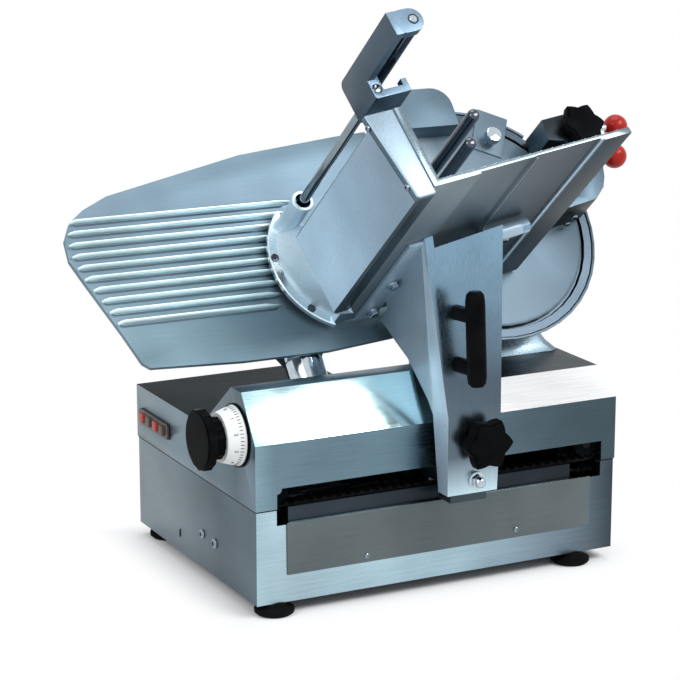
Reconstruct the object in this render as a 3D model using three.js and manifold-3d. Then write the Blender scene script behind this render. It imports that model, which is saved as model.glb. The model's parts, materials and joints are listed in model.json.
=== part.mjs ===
// A full automatic gravity meat slicer as separate solids, in millimetres with +Z up.
// The base frame has X along the front from its left end, Y to the back and Z up from the table.
// The slope frame stands at the blade's centre: x along the base, y up the slope, z towards the food.
// The tray frame is the slope frame turned a little about the blade's axis.
import * as THREE from 'three';
import { mergeVertices } from 'three/addons/utils/BufferGeometryUtils.js';
import Module from 'manifold-3d';

const wasm = await Module();
wasm.setup();

// Clearances and overruns
const GAP = 0.3;
const OVER = 5;

// Slopes
const BLADE_TILT = THREE.MathUtils.degToRad(50);
const TRAY_TURN = THREE.MathUtils.degToRad(9.5);

// Base and its covers, in the base frame
const BASE = {
  length: 500, depth: 366, foot: 16, seam: 133.6, inset: 1.2, wall: 4, flange: 42, floor: 3, sheet: 2,
};
const COVER = {
  wall: 3, front: 214.7, flat: 203.3, flatLength: 250,
  hump: 271.5, humpFront: 38.3, humpBack: 67.2, humpFoot: 155, humpLength: 284,
  shoulder: 245, shoulderFront: 45.5, shoulderBack: 133, plinthLeft: 345, plinthBack: 262,
};
const SLOT = { left: 28, right: 480, bottom: 113, top: 159 };
const SLOT_PLATE = { left: 41, right: 464, bottom: 50, sheet: 1.5 };
const FOOT = {
  radius: 23, rim: 3, flat: 8, neck: 15, shoulder: 11, left: 30, fromRight: 54, front: 14, fromRear: 28,
};
const PANEL = { y: 306, z: 165, length: 96, height: 20, lip: 5, depth: 3, pitch: 22, well: 10, back: 18 };
const BUTTON = { size: 12, proud: 3.5, inside: 5, corner: 2 };

// Carriage drive inside the base
const BELT = { pitch: 12.7, wheelTeeth: 10, spanTeeth: 34, left: 34, height: 154, front: 14, width: 20 };
const TOOTH = { height: 2.3, root: 5.1, tip: 3.8, back: 2 };
const WHEEL = { axle: 6, groove: 2, front: 12 };
const RAIL = { radius: 8, height: 104, front: 60, rear: 112, boss: 15, seat: 12 };
const GUIDE_RAIL = { left: 47, right: 440, front: 10, rear: 38, shelf: 4.5 };
const LUG = { left: 2, right: 48, front: 42, rear: 48, height: 30 };
const DRIVE = { left: 442, right: 494.5, front: 42, rear: 102, bottom: 121, top: 188, motor: 27 };
const SLIDER = { left: 230, right: 300, front: 50, rear: 122, bottom: 84, top: 124, corner: 6 };
const TONGUE = { left: 240, right: 290, bottom: 141, top: 156, neck: 25, post: 29, foot: 122, head: 215 };

// Carriage arm and its fittings, in the base frame
const ARM = {
  front: -45, left: 233.5, right: 302, bottom: 133, reach: 185, rise: 387, sheet: 4, bend: 230, under: 12,
  leftSpread: 0.116, rightSpread: 0.04,
};
const ARM_LEAN_SHARES = [0.12, 0.25];
const ARM_FRONT_SHARES = [[ARM_LEAN_SHARES[0], 1], [0, ARM_LEAN_SHARES[1]], [0, 0]];
const ARM_REAR_SHARES = [
  [0.124, 0], [0.124, 0.194], [0.265, 0.284], [0.497, 0.393], [0.654, 0.432],
  [0.757, 0.463], [0.854, 0.481], [0.892, 0.507], [1, 0.569],
];
const FLANGE = { left: -236, right: -204, low: 12, high: 196 };
const STAY = { radius: 9, left: -126, right: -58, w: -90, u: 176 };
const BOLT = { t: -217.5, upper: 98, lower: 29, head: 7, washer: 9, height: 6, sheet: 1.6 };
const GRIP = { x: 249, out: 44.5, bottom: 275, top: 389, radius: 12, post: 9.5, lowPost: 20, highPost: 31 };
const ARM_KNOB = { x: 276, z: 199, hub: 13, hubLength: 10, length: 18 };
const STAR = { radius: 30, dip: 7, lobes: 6, edge: 3 };
const ARM_NUT = { x: 273, z: 148.5, washer: 10.8, sheet: 2, hex: 9, height: 8, dome: 7 };

// Blade group, in the slope frame
const BLADE_CENTRE = { x: 407, y: 199.2, z: 408.5 };
const BLADE = { radius: 165, rim: 155, recess: 153, floor: 5, web: 4, edge: 0.8, hub: 48, hubBack: 14 };
const SHAFT = { radius: 12.5, flange: 30, flangeLength: 5.7, back: 103 };
const RING = {
  inner: 166.5, outer: 169.5, backInner: 153.5, backOuter: 158, high: 1.6, webFront: 22, webBack: 26,
  hole: 20, from: -112, to: 100,
  windowFrom: 27, windowTo: 46, earLeft: 120, earRight: 190, earLow: 66, earHigh: 114,
};
const DISC = {
  radius: 150, back: 4.2, top: 2.4, bevel: 4, reach: 176, width: 44, left: 112, bridge: 1.9, bridgeTop: 4.6,
};
const DISC_KNOB = { angle: 63, at: 130, collar: 8, collarHeight: 4, neck: 6, neckHeight: 5, head: 11,
  height: 20 };
const DOME = { left: -75, right: 10, low: 131, high: 189, corner: 26, bottom: 2.7, top: 30, wall: 4 };
const DRUM = { radius: 60, bore: 26, back: 108 };
const BEARING = { width: 14, front: 27.5, rear: 66, race: 4, groove: 1.5 };
const COLUMN = { left: 350, width: 149.5, front: 133, depth: 129, height: 116.7, corner: 14 };
const COLUMN_SHARES = [
  [0, 0, 1, 0, 1], [0.092, -0.027, 0.923, 0.054, 0.969], [0.255, -0.107, 0.849, 0.132, 1],
  [0.469, -0.054, 0.803, 0.233, 1.101], [0.726, 0, 0.763, 0.326, 1.233],
  [0.854, 0.04, 0.722, 0.403, 1.233], [1, 0.114, 0.649, 0.558, 1.14],
];
const BLADE_DRIVE = {
  wheel: 45, motorWheel: 25, distance: 210, back: 102, front: 88, belt: 2, room: 5, axle: 8, opening: 2,
};
const MOTOR = {
  radius: 50, front: 105, back: 205, bell: 44, bellLength: 12, footWidth: 44, footFront: 150, footBack: 200,
};

// Sharpener, in the slope frame
const SHARPENER = { left: 104, width: 82, low: -20, height: 144, bottom: 4.5, top: 57 };
const SHARPENER_SHARES = [
  [0, 0.095], [0.024, 0], [0.59, 0.066], [0.79, 0.173], [0.88, 0.278], [1, 0.556], [1, 1],
  [0.126, 0.917], [0.126, 0.708], [0.44, 0.68], [0.512, 0.451], [0.378, 0.174], [0.255, 0.118],
];
const SHARPENER_FOOT = { left: 160, low: 70, high: 110, arm: 6, sheet: 2.2 };
const STONE = { x: 132, n: 98, radius: 12.5, pin: 4, height: 8.3, backBottom: 19.2, frontBottom: 1.9,
  room: 0.8 };
const BALL = { radius: 16.5, rod: 4, u: 30, travel: 8, room: 1 };
const UPPER_BALL = { x: 241, n: 108, left: 150 };
const LOWER_BALL = { x: 222.3, n: 63.8, left: 160 };
const SHARPENER_KNOB = { x: 163, n: 92, hub: 12, hubLength: 5, length: 16 };

// Gauge plate and its setting, in the slope frame
const PLATE = { reach: 556, drop: 153.7, thickness: 6, skin: 4, edge: 171.5, hollow: 0.93, x: -330 };
const PLATE_TOP_SHARE = -0.201;
const PLATE_FOOT_SHARE = -0.171;
const PLATE_SHARES = [
  [PLATE_TOP_SHARE, 0.966], [-0.282, 0.945], [-0.533, 0.847], [-0.726, 0.696], [-0.874, 0.576],
    [-0.938, 0.47],
  [-0.976, 0.366], [-0.998, 0.217], [-1, 0.033], [-0.981, -0.156], [-0.928, -0.647], [-0.903, -0.905],
  [-0.887, -0.955], [-0.671, -0.995], [-0.466, -0.995], [-0.297, -0.94], [PLATE_FOOT_SHARE, -0.929],
];
const RIDGE = { width: 10, height: 1.4, crown: 6, pitch: 15.6, first: 54.9, rightFirst: -258,
  rightLast: -307 };
const RIDGE_START_SHARES = [0.973, 0.986, 0.991, 0.991, 0.986, 0.977, 0.965, 0.953, 0.943, 0.932];
const POST = { x: -281, u: -34, radius: 24, top: -150, foot: -214, flangeTop: -85, flangeHalf: 34,
  flangeBack: 50 };
const SLEEVE = { half: 22, low: -250, front: -8, back: -60 };
const GUIDE = { radius: 8, n: -232, lug: 12, lugHalf: 14, lugHigh: -185, travel: 15, room: 3 };
const DIAL = { y: 52, z: 216, radius: 36, tip: 30, front: 4, length: 20, ring: 37 };
const DIAL_KNOB = { hub: 26, hubLength: 14, disc: 37.5, length: 13, dip: 1.6, lobes: 14 };
const DIAL_SHAFT = { radius: 8, length: 89, cam: 26, camLength: 11, offset: 5 };

// Tray and pusher, in the tray frame
const TRAY = {
  left: -266, wall: 10, right: 18.3, low: -80, floor: 8, high: 26, foot: 8, top: 343,
  stripLeft: -200, step: -120.4, stripRight: -22, thin: 2.5, thinner: 3.5, serration: 1, pitch: 16,
};
const HOUSING = { bottom: 70.3, wall: 4 };
const HOUSING_SHARES = [[0, 0], [0, 1], [-1, 1], [-0.53, 0]];
const HOUSING_SIZE = { width: 40.5, height: 104 };
const SOCKET = { flange: 10, bore: 6, tube: 13.5, tubeLow: 24, tubeHigh: 85, width: 44, height: 168,
  low: -84 };
const SOCKET_SHARES = [
  [0, 0], [0, 1], [-0.27, 1], [-0.54, 0.95], [-0.93, 0.673], [-1, 0.357], [-0.79, 0.128], [-0.44, 0.015],
];
const SOCKET_NECK_SHARES = [
  [0, 0.024], [0, 0.68], [-0.09, 0.7], [-0.45, 0.7], [-0.84, 0.655], [-0.78, 0.4], [-0.62, 0.17],
    [-0.5, 0.024],
];
const ROD = { t: -269, w: 57, radius: 6, bottom: 30, top: 338, tip: 1 };
const BRACKET = {
  left: -276.5, thickness: 10, low: 69, high: 99, bottom: 285, top: 432, corner: 9, arms: 11,
  footRight: -234.5, hubRight: -261.3, hubLow: 45, hubTop: 338, blockRight: -227.5, blockHigh: 54, nub: 7,
  nubHeight: 8, tab: 10,
};
const HAND_GRIP = { t: -242, w: 82, radius: 7 };
const PRESS = { left: -250, right: -130, low: -68, high: 20, bottom: 122, thickness: 8, spike: 4,
  spikeRadius: 3 };
const STEM = { width: 10, low: 2, high: 18 };
const PIN = { radius: 7.5, top: 343, dome: 5 };
const UPPER_PIN = { t: -168, w: -5 };
const LOWER_PIN = { t: -191, w: -38 };

// Finishes
const finish = (color, metalness, roughness) => new THREE.MeshStandardMaterial({ color, metalness,
  roughness });
const STEEL = finish(0xa9bccb, 0.9, 0.32);
const ALUMINIUM = finish(0xb4c2cc, 0.85, 0.38);
const GREY_SHEET = finish(0x6b7376, 0.85, 0.35);
const CHROME = finish(0xd5dade, 1, 0.1);
const DARK_CHROME = finish(0x4a4f56, 1, 0.15);
const BLACK = finish(0x111214, 0, 0.5);
const RUBBER = finish(0x151515, 0, 0.8);
const RED = finish(0xc02a16, 0, 0.25);
const WHITE = finish(0xf2f3f2, 0, 0.4);
const BROWN = finish(0x4b4440, 0, 0.4);
const STONE_GREY = finish(0x8d8a84, 0, 0.9);

// Directions that a shape drawn along Z can be turned to
const axes = (x, y, z) => new THREE.Matrix4().makeBasis(x, y, z);
const [EX, EY, EZ] = [[1, 0, 0], [0, 1, 0], [0, 0, 1]].map((v) => new THREE.Vector3(...v));
const minus = (v) => v.clone().negate();
const ALONG_Z = new THREE.Matrix4();
const ALONG_X = axes(EY, EZ, EX);
const ALONG_Y = axes(EX, minus(EZ), EY);
const AGAINST_X = axes(EZ, EY, minus(EX));
const AGAINST_Y = axes(EX, EZ, minus(EY));

// A closed geometry as a solid, and a solid as a geometry
function solid(geometry) {
  const bare = geometry.index ? geometry.toNonIndexed() : geometry;
  const shape = new THREE.BufferGeometry().setAttribute('position', bare.getAttribute('position'));
  const merged = mergeVertices(shape, GAP / 1000);
  return new wasm.Manifold(new wasm.Mesh({
    numProp: 3,
    vertProperties: new Float32Array(merged.attributes.position.array),
    triVerts: new Uint32Array(merged.index.array),
  }));
}

function geometryOf(shape) {
  const mesh = shape.getMesh();
  const geometry = new THREE.BufferGeometry();
  geometry.setAttribute('position', new THREE.BufferAttribute(new Float32Array(mesh.vertProperties), 3));
  geometry.setIndex(new THREE.BufferAttribute(new Uint32Array(mesh.triVerts), 1));
  return geometry;
}

const join = (first, ...rest) => rest.reduce((sum, next) => sum.add(next), first);
const cut = (first, ...rest) => rest.reduce((left, next) => left.subtract(next), first);
const moved = (shape, matrix) => solid(geometryOf(shape).applyMatrix4(matrix));
const at = (x, y, z) => new THREE.Matrix4().makeTranslation(x, y, z);
const placed = (shape, direction, x, y, z) => moved(shape, at(x, y, z).multiply(direction));
const around = (middle, size) => [middle - size / 2, middle + size / 2];

function box([x0, x1], [y0, y1], [z0, z1]) {
  const geometry = new THREE.BoxGeometry(x1 - x0, y1 - y0, z1 - z0);
  return solid(geometry.translate((x0 + x1) / 2, (y0 + y1) / 2, (z0 + z1) / 2));
}

function drum(radius, low, high, sides = 16) {
  const geometry = new THREE.CylinderGeometry(radius, radius, high - low, sides);
  return solid(geometry.rotateX(Math.PI / 2).translate(0, 0, (low + high) / 2));
}

function turned(profile, sides = 20) {
  const points = profile.map(([r, h]) => new THREE.Vector2(r, h));
  return solid(new THREE.LatheGeometry(points, sides).rotateX(Math.PI / 2));
}

// A flat outline carried along Z
function slab(points, low, high, hole) {
  const shape = new THREE.Shape(points.map(([a, b]) => new THREE.Vector2(a, b)));
  if (hole) shape.holes.push(new THREE.Path(hole.map(([a, b]) => new THREE.Vector2(a, b))));
  const geometry = new THREE.ExtrudeGeometry(shape, { depth: high - low, bevelEnabled: false });
  return solid(geometry.translate(0, 0, low));
}

// A profile in Y and Z carried along X
const bar = (points, low, high) => moved(slab(points, low, high), ALONG_X);

// A body through convex sections of equal count, listed from low to high
function loft(sections) {
  const count = sections[0].length;
  const middle = (section) => section.reduce((sum, p) => sum.map((v, k) => v + p[k] / count), [0, 0, 0]);
  const last = sections.length - 1;
  const positions = [...sections.flat(2), ...middle(sections[0]), ...middle(sections[last])];
  const low = sections.length * count;
  const index = [];
  for (let i = 0; i < count; i += 1) {
    const next = (i + 1) % count;
    for (let s = 0; s < last * count; s += count) {
      index.push(s + i, s + next, s + next + count, s + i, s + next + count, s + i + count);
    }
    index.push(low, next, i, low + 1, last * count + i, last * count + next);
  }
  const geometry = new THREE.BufferGeometry();
  geometry.setAttribute('position', new THREE.Float32BufferAttribute(positions, 3));
  geometry.setIndex(index);
  return solid(geometry);
}

// Outlines
const scaled = (shares, width, height, x, y) => shares.map(([a, b]) => [x + a * width, y + b * height]);

function arc(x, y, radius, from, to, steps) {
  return Array.from({ length: steps + 1 }, (_, i) => {
    const angle = THREE.MathUtils.degToRad(from + (to - from) * i / steps);
    return [x + radius * Math.cos(angle), y + radius * Math.sin(angle)];
  });
}

function rounded([x0, x1], [y0, y1], radius, steps = 3) {
  return [
    ...arc(x1 - radius, y1 - radius, radius, 0, 90, steps),
      ...arc(x0 + radius, y1 - radius, radius, 90, 180, steps),
    ...arc(x0 + radius, y0 + radius, radius, 180, 270, steps),
      ...arc(x1 - radius, y0 + radius, radius, 270, 360, steps),
  ];
}

// A round outline with dips between its lobes
function lobed(radius, dip, lobes, steps) {
  return Array.from({ length: lobes * steps }, (_, i) => {
    const angle = 2 * Math.PI * i / (lobes * steps);
    const r = radius - dip * (1 - Math.cos(lobes * angle)) / 2;
    return [r * Math.cos(angle), r * Math.sin(angle)];
  });
}

// A convex outline with its sides moved inwards
function inset(points, wall) {
  const count = points.length;
  const after = (i) => points[(i + 1) % count];
  const area = points.reduce((sum, [a, b], i) => sum + a * after(i)[1] - b * after(i)[0], 0);
  const sides = points.map(([a, b], i) => {
    const [c, d] = after(i);
    const length = Math.hypot(c - a, d - b) * Math.sign(area);
    const [p, q] = [(b - d) / length, (c - a) / length];
    return [p, q, p * a + q * b + wall];
  });
  return points.map((_, i) => {
    const [p, q, r] = sides[(i + count - 1) % count];
    const [s, t, u] = sides[i];
    const det = p * t - q * s;
    return [(r * t - u * q) / det, (p * u - s * r) / det];
  });
}

// Scene graph
const machine = new THREE.Group();
const slope = new THREE.Group();
slope.position.set(BLADE_CENTRE.x, BLADE_CENTRE.y, BLADE_CENTRE.z);
slope.rotation.x = BLADE_TILT;
const carriage = new THREE.Group();
carriage.rotation.z = TRAY_TURN;
machine.add(slope);
slope.add(carriage);
machine.updateMatrixWorld(true);

function piece(name, shape, material, parent = machine) {
  const mesh = new THREE.Mesh(geometryOf(shape), material);
  mesh.geometry.computeVertexNormals();
  mesh.name = name;
  parent.add(mesh);
}

// A shape drawn in one frame, written in another
const written = (shape, from, to) => moved(shape, to.matrixWorld.clone().invert().multiply(from.matrixWorld));

// Base

// The space that the top cover encloses, with its sides moved inwards by a wall
function coverSpace(wall) {
  const foot = BASE.seam + GAP - (wall ? OVER : 0);
  const lap = COVER.wall * 2.5 - wall;
  const low = foot - wall;
  const hump = [
    [0, low], [0, COVER.front], [COVER.humpFront, COVER.hump], [COVER.humpBack, COVER.hump],
    [COVER.humpFoot, COVER.flat], [COVER.humpFoot, low],
  ];
  const shoulder = [
    [0, low], [0, COVER.front], [COVER.shoulderFront, COVER.shoulder], [COVER.shoulderBack, COVER.shoulder],
    [COVER.shoulderBack, low],
  ];
  return join(
    bar(inset(hump, wall), wall, COVER.humpLength - wall),
    box([wall, COVER.flatLength - wall], [COVER.humpFoot - lap, BASE.depth - wall],
      [foot, COVER.flat - wall]),
    bar(inset(shoulder, wall), COVER.humpLength - lap, BASE.length - wall),
    box([COVER.plinthLeft + wall, BASE.length - wall], [COVER.shoulderBack - lap, COVER.plinthBack - wall],
      [foot, COVER.shoulder - wall]),
  );
}

function panelHole(clearance) {
  const y = around(PANEL.y, PANEL.length - 2 * PANEL.lip - 2 * clearance);
  const z = around(PANEL.z, PANEL.height - PANEL.lip - 2 * clearance);
  return rounded(y, z, BUTTON.corner);
}

function gaugeLugs() {
  const x = around(POST.x, 2 * GUIDE.lugHalf);
  const n = [GUIDE.n - GUIDE.lugHalf, GUIDE.lugHigh];
  const front = SLEEVE.front + GUIDE.room;
  const back = SLEEVE.back - GUIDE.travel - OVER;
  const lugs = join(box(x, n, [front, front + GUIDE.lug]), box(x, n, [back - GUIDE.lug, back]));
  const bore = placed(drum(GUIDE.radius + GAP, back - GUIDE.lug - OVER, front + GUIDE.lug + OVER),
    ALONG_Z, POST.x, GUIDE.n, 0);
  return { lugs, bore, low: back - GUIDE.lug, high: front + GUIDE.lug };
}

function topCover() {
  const across = [-OVER, COVER.wall + OVER];
  const outer = coverSpace(0);
  const { lugs, bore } = gaugeLugs();
  const wheelLug = join(
    box([LUG.left, LUG.right], [LUG.front, LUG.rear], around(BELT.height, LUG.height)),
    placed(drum(WHEEL.axle, 0, LUG.rear - WHEEL.front), ALONG_Y, BELT.left, WHEEL.front, BELT.height),
  );
  const postSlot = box(around(POST.x, 2 * POST.radius + 2 * GUIDE.room), [GUIDE.n, POST.top],
    [POST.u - POST.radius - GUIDE.travel - GUIDE.room, POST.u + POST.radius + GUIDE.room]);
  const half = BLADE_DRIVE.wheel + BLADE_DRIVE.room + BLADE_DRIVE.opening;
  const beltSlot = box([-half, half], [-BLADE_DRIVE.distance, -DRUM.radius],
    [-BLADE_DRIVE.back - 2 * BLADE_DRIVE.opening, -BLADE_DRIVE.front + 2 * BLADE_DRIVE.opening]);
  const shell = join(cut(outer, coverSpace(COVER.wall)), written(lugs, slope, machine).intersect(outer),
    wheelLug);
  return cut(shell,
    box([SLOT.left, SLOT.right], across, [BASE.seam - OVER, SLOT.top]),
    placed(drum(DIAL_SHAFT.radius + GAP, ...across), ALONG_X, 0, DIAL.y, DIAL.z),
    bar(panelHole(0), ...across),
    written(postSlot, slope, machine), written(bore, slope, machine), written(beltSlot, slope, machine));
}

function lowerBody() {
  const inner = BASE.inset + BASE.wall;
  const far = { x: BASE.length - inner, y: BASE.depth - inner };
  const under = [BASE.seam - BASE.wall, BASE.seam];
  const lap = 2 * COVER.wall;
  const shell = cut(
    box([BASE.inset, BASE.length - BASE.inset], [BASE.inset, BASE.depth - BASE.inset],
      [BASE.foot, BASE.seam]),
    box([inner, far.x], [inner, far.y], [BASE.foot + BASE.floor, BASE.seam + OVER]),
    box([BASE.flange, BASE.length - BASE.flange], [BASE.flange, BASE.depth - BASE.flange], [0, BASE.seam]),
  );
  const deck = join(
    box([COVER.flatLength - lap, far.x + GAP], [COVER.plinthBack - lap, far.y + GAP], under),
    box([COVER.flatLength - lap, COVER.plinthLeft + lap], [COVER.humpFoot - lap, COVER.plinthBack], under),
    box([COVER.humpLength - lap, COVER.plinthLeft + lap], [COVER.shoulderBack - lap, COVER.humpFoot], under),
  );
  const shelfTop = BELT.height - BELT_RADIUS - TOOTH.back - GAP;
  const guide = join(
    box([GUIDE_RAIL.left, GUIDE_RAIL.right], [inner - GAP, GUIDE_RAIL.rear],
      [SLOT.bottom - GUIDE_RAIL.shelf, SLOT.bottom - GAP]),
    box([GUIDE_RAIL.left, GUIDE_RAIL.right], [GUIDE_RAIL.front, GUIDE_RAIL.rear],
      [SLOT.bottom - GUIDE_RAIL.shelf, shelfTop]),
  );
  const rails = [RAIL.front, RAIL.rear];
  const bosses = rails.flatMap((y) => [
    placed(drum(RAIL.boss, 0, RAIL.seat), ALONG_X, inner - GAP, y, RAIL.height),
    placed(drum(RAIL.boss, 0, RAIL.seat), AGAINST_X, far.x + GAP, y, RAIL.height),
  ]);
  const bores = rails.map((y) => placed(drum(RAIL.radius + GAP, inner, far.x), ALONG_X, 0, y, RAIL.height));
  const slot = box([SLOT.left, SLOT.right], [-OVER, inner + OVER / 2], [SLOT.bottom, BASE.seam + OVER]);
  return cut(join(cut(shell, slot), deck, guide, ...bosses), ...bores);
}

function foot() {
  const top = BASE.foot - GAP;
  return turned([
    [0, 0], [FOOT.radius - FOOT.rim, 0], [FOOT.radius, FOOT.rim], [FOOT.radius, FOOT.flat],
    [FOOT.neck, FOOT.shoulder], [FOOT.neck, top], [0, top],
  ], 16);
}

function base() {
  const inner = BASE.inset + BASE.wall + GAP;
  const panBottom = BASE.foot + BASE.floor + GAP;
  piece('lower_body', lowerBody(), STEEL);
  piece('top_cover', topCover(), STEEL);
  piece('bottom_pan', box([inner, BASE.length - inner], [inner, BASE.depth - inner],
    [panBottom, panBottom + BASE.sheet]), STEEL);
  [['front', FOOT.front], ['rear', BASE.depth - FOOT.fromRear]].forEach(([row, y]) => {
    piece(`foot_${row}_left`, placed(foot(), ALONG_Z, FOOT.left, y, 0), RUBBER);
    piece(`foot_${row}_right`, placed(foot(), ALONG_Z, BASE.length - FOOT.fromRight, y, 0), RUBBER);
  });
  const face = BASE.inset - GAP;
  const lip = SLOT.bottom + GAP;
  const sheet = box([SLOT_PLATE.left, SLOT_PLATE.right], [face - SLOT_PLATE.sheet, face],
    [SLOT_PLATE.bottom, lip + SLOT_PLATE.sheet]);
  const hook = box([SLOT_PLATE.left, SLOT_PLATE.right], [face - SLOT_PLATE.sheet, BASE.inset + BASE.wall],
    [lip, lip + SLOT_PLATE.sheet]);
  piece('slot_cover_plate', join(sheet, hook), GREY_SHEET);
}

function switches() {
  const names = ['blade_stop_button', 'blade_start_button', 'feed_stop_button', 'feed_start_button'];
  const middle = (i) => PANEL.y + ((names.length - 1) / 2 - i) * PANEL.pitch;
  const face = rounded(around(PANEL.y, PANEL.length), around(PANEL.z, PANEL.height), PANEL.height / 4);
  const body = join(bar(face, -PANEL.depth, -GAP), bar(panelHole(GAP), -PANEL.depth, PANEL.back));
  const square = (i, size) => rounded(around(middle(i), size), around(PANEL.z, size), BUTTON.corner, 2);
  const wells = names.map((_, i) => bar(square(i, BUTTON.size + 2 * GAP), -PANEL.depth - OVER, PANEL.well));
  piece('switch_bezel', cut(body, ...wells), BROWN);
  names.forEach((name, i) => {
    piece(name, bar(square(i, BUTTON.size), -PANEL.depth - BUTTON.proud, BUTTON.inside),
      i % 2 ? BROWN : RED);
  });
}

// Carriage drive

const BELT_RADIUS = BELT.pitch * BELT.wheelTeeth / (2 * Math.PI);
const BELT_SPAN = BELT.pitch * BELT.spanTeeth;

// A point of the belt's path at a length along it, moved outwards from its pitch line
function beltPoint(length, out) {
  const half = Math.PI * BELT_RADIUS;
  const turn = BELT_SPAN + half;
  const s = (length + 2 * turn) % (2 * turn);
  const side = s < turn ? 1 : -1;
  const run = s % turn;
  const start = side > 0 ? BELT.left : BELT.left + BELT_SPAN;
  const r = BELT_RADIUS + out;
  if (run < BELT_SPAN) return [start + side * run, -side * r];
  const angle = (run - BELT_SPAN) / BELT_RADIUS;
  return [start + side * (BELT_SPAN + r * Math.sin(angle)), -side * r * Math.cos(angle)];
}

function driveBelt() {
  const teeth = 2 * BELT.spanTeeth + BELT.wheelTeeth;
  const inside = Array.from({ length: teeth }, (_, i) => {
    const s = i * BELT.pitch;
    return [
      beltPoint(s - TOOTH.root / 2, 0), beltPoint(s - TOOTH.tip / 2, -TOOTH.height),
      beltPoint(s + TOOTH.tip / 2, -TOOTH.height), beltPoint(s + TOOTH.root / 2, 0),
    ];
  }).flat();
  const outside = [];
  for (let i = 0; i <= BELT.wheelTeeth; i += 1) {
    const right = BELT_SPAN + i * BELT.pitch / 2;
    outside.push(beltPoint(right, TOOTH.back));
  }
  for (let i = 0; i <= BELT.wheelTeeth; i += 1) {
    const left = 2 * BELT_SPAN + (BELT.wheelTeeth + i) * BELT.pitch / 2;
    outside.push(beltPoint(left, TOOTH.back));
  }
  return placed(slab(outside, 0, BELT.width, inside.reverse()), ALONG_Y, 0, BELT.front, BELT.height);
}

// A toothed wheel that runs just inside the tips of the belt's teeth
function beltWheel(x) {
  const radius = BELT_RADIUS - TOOTH.height - GAP;
  const half = Math.PI / BELT.wheelTeeth;
  const points = Array.from({ length: BELT.wheelTeeth }, (_, i) => {
    const middle = 2 * half * i;
    return [
      [radius, -half / 2], [radius, 0], [radius, half / 2], [radius - WHEEL.groove, half * 0.75],
        [radius - WHEEL.groove, half * 1.25],
    ].map(([r, a]) => [r * Math.cos(middle + a), r * Math.sin(middle + a)]);
  }).flat();
  const wheel = cut(slab(points, 0, BELT.width), drum(WHEEL.axle + GAP, -OVER, BELT.width + OVER, 16));
  return placed(wheel, ALONG_Y, x, BELT.front, BELT.height);
}

function carriageDrive() {
  const right = BELT.left + BELT_SPAN;
  const inner = BASE.inset + BASE.wall + GAP;
  piece('drive_belt', driveBelt(), RUBBER);
  piece('idler_pulley', beltWheel(BELT.left), BLACK);
  piece('drive_pulley', beltWheel(right), BLACK);
  const gearbox = box([DRIVE.left, DRIVE.right], [DRIVE.front, DRIVE.rear], [DRIVE.bottom, DRIVE.top]);
  const axle = placed(drum(WHEEL.axle, 0, DRIVE.front - WHEEL.front), ALONG_Y, right, WHEEL.front,
    BELT.height);
  piece('carriage_motor', join(gearbox, axle), BLACK);
  [['front_rail', RAIL.front], ['rear_rail', RAIL.rear]].forEach(([name, y]) => {
    piece(name, placed(drum(RAIL.radius, inner, BASE.length - inner), ALONG_X, 0, y, RAIL.height), CHROME);
  });
  const block = bar(rounded([SLIDER.front, SLIDER.rear], [SLIDER.bottom, SLIDER.top], SLIDER.corner, 2),
    SLIDER.left, SLIDER.right);
  const inside = ARM.front + ARM.sheet + GAP;
  const x = [TONGUE.left, TONGUE.right];
  const tongue = box(x, [inside, SLIDER.front + TONGUE.neck], [TONGUE.bottom, TONGUE.top]);
  const neck = box(x, [SLIDER.front, SLIDER.front + TONGUE.neck], [SLIDER.top - OVER, TONGUE.top]);
  const post = box(x, [inside, inside + TONGUE.post], [TONGUE.foot, TONGUE.head]);
  const beltTop = BELT.height - BELT_RADIUS + TOOTH.height + GAP;
  const clamp = box(x, [BELT.front, BELT.front + BELT.width], [beltTop, TONGUE.top]);
  const bores = [RAIL.front, RAIL.rear].map((y) => (
    placed(drum(RAIL.radius + GAP, SLIDER.left - OVER, SLIDER.right + OVER), ALONG_X, 0, y, RAIL.height)));
  piece('slider_block', cut(join(block, tongue, neck, post, clamp), ...bores), ALUMINIUM);
}

// Carriage arm

// The arm's side outline carried across: its right side leans outwards, and its left side above the bend
function armSpace(left, right, back, down) {
  const points = scaled([...ARM_REAR_SHARES, ...ARM_FRONT_SHARES], ARM.reach, ARM.rise, ARM.front + back,
    ARM.bottom - down);
  const geometry = geometryOf(bar(points, left, right));
  const position = geometry.getAttribute('position');
  for (let i = 0; i < position.count; i += 1) {
    const high = Math.max(0, position.getZ(i) - ARM.bend);
    const onLeft = position.getX(i) < (left + right) / 2;
    position.setX(i, onLeft ? left - ARM.leftSpread * high
      : right + ARM.rightSpread * (position.getZ(i) - ARM.bottom));
  }
  return solid(geometry);
}

function carriageArm() {
  const under = TRAY.low - GAP;
  const reach = BASE.length;
  const above = box([-reach, reach], [under, reach], [-reach, 2 * reach]);
  const gap = box([FLANGE.right, reach], [under - ARM.under, reach], [-reach, 2 * reach]);
  const flange = box([FLANGE.left, FLANGE.right], [under - ARM.sheet, under], [FLANGE.low, FLANGE.high]);
  const stay = placed(drum(STAY.radius, STAY.left, STAY.right), ALONG_X, 0, STAY.w, STAY.u);
  const shell = cut(
    armSpace(ARM.left, ARM.right, 0, 0),
    armSpace(ARM.left + ARM.sheet, ARM.right - ARM.sheet, ARM.sheet, OVER),
  );
  return cut(join(cut(shell, written(gap, carriage, machine)), written(flange, carriage, machine),
    written(stay, carriage, machine)), written(above, carriage, machine));
}

function star(hub, hubLength, length) {
  const edge = STAR.edge;
  const body = slab(lobed(STAR.radius, STAR.dip, STAR.lobes, 4), hubLength + edge,
    hubLength + length - edge);
  const face = slab(lobed(STAR.radius - edge, STAR.dip, STAR.lobes, 4), hubLength, hubLength + length);
  return join(body, face, drum(hub, 0, hubLength + length / 2));
}

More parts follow.
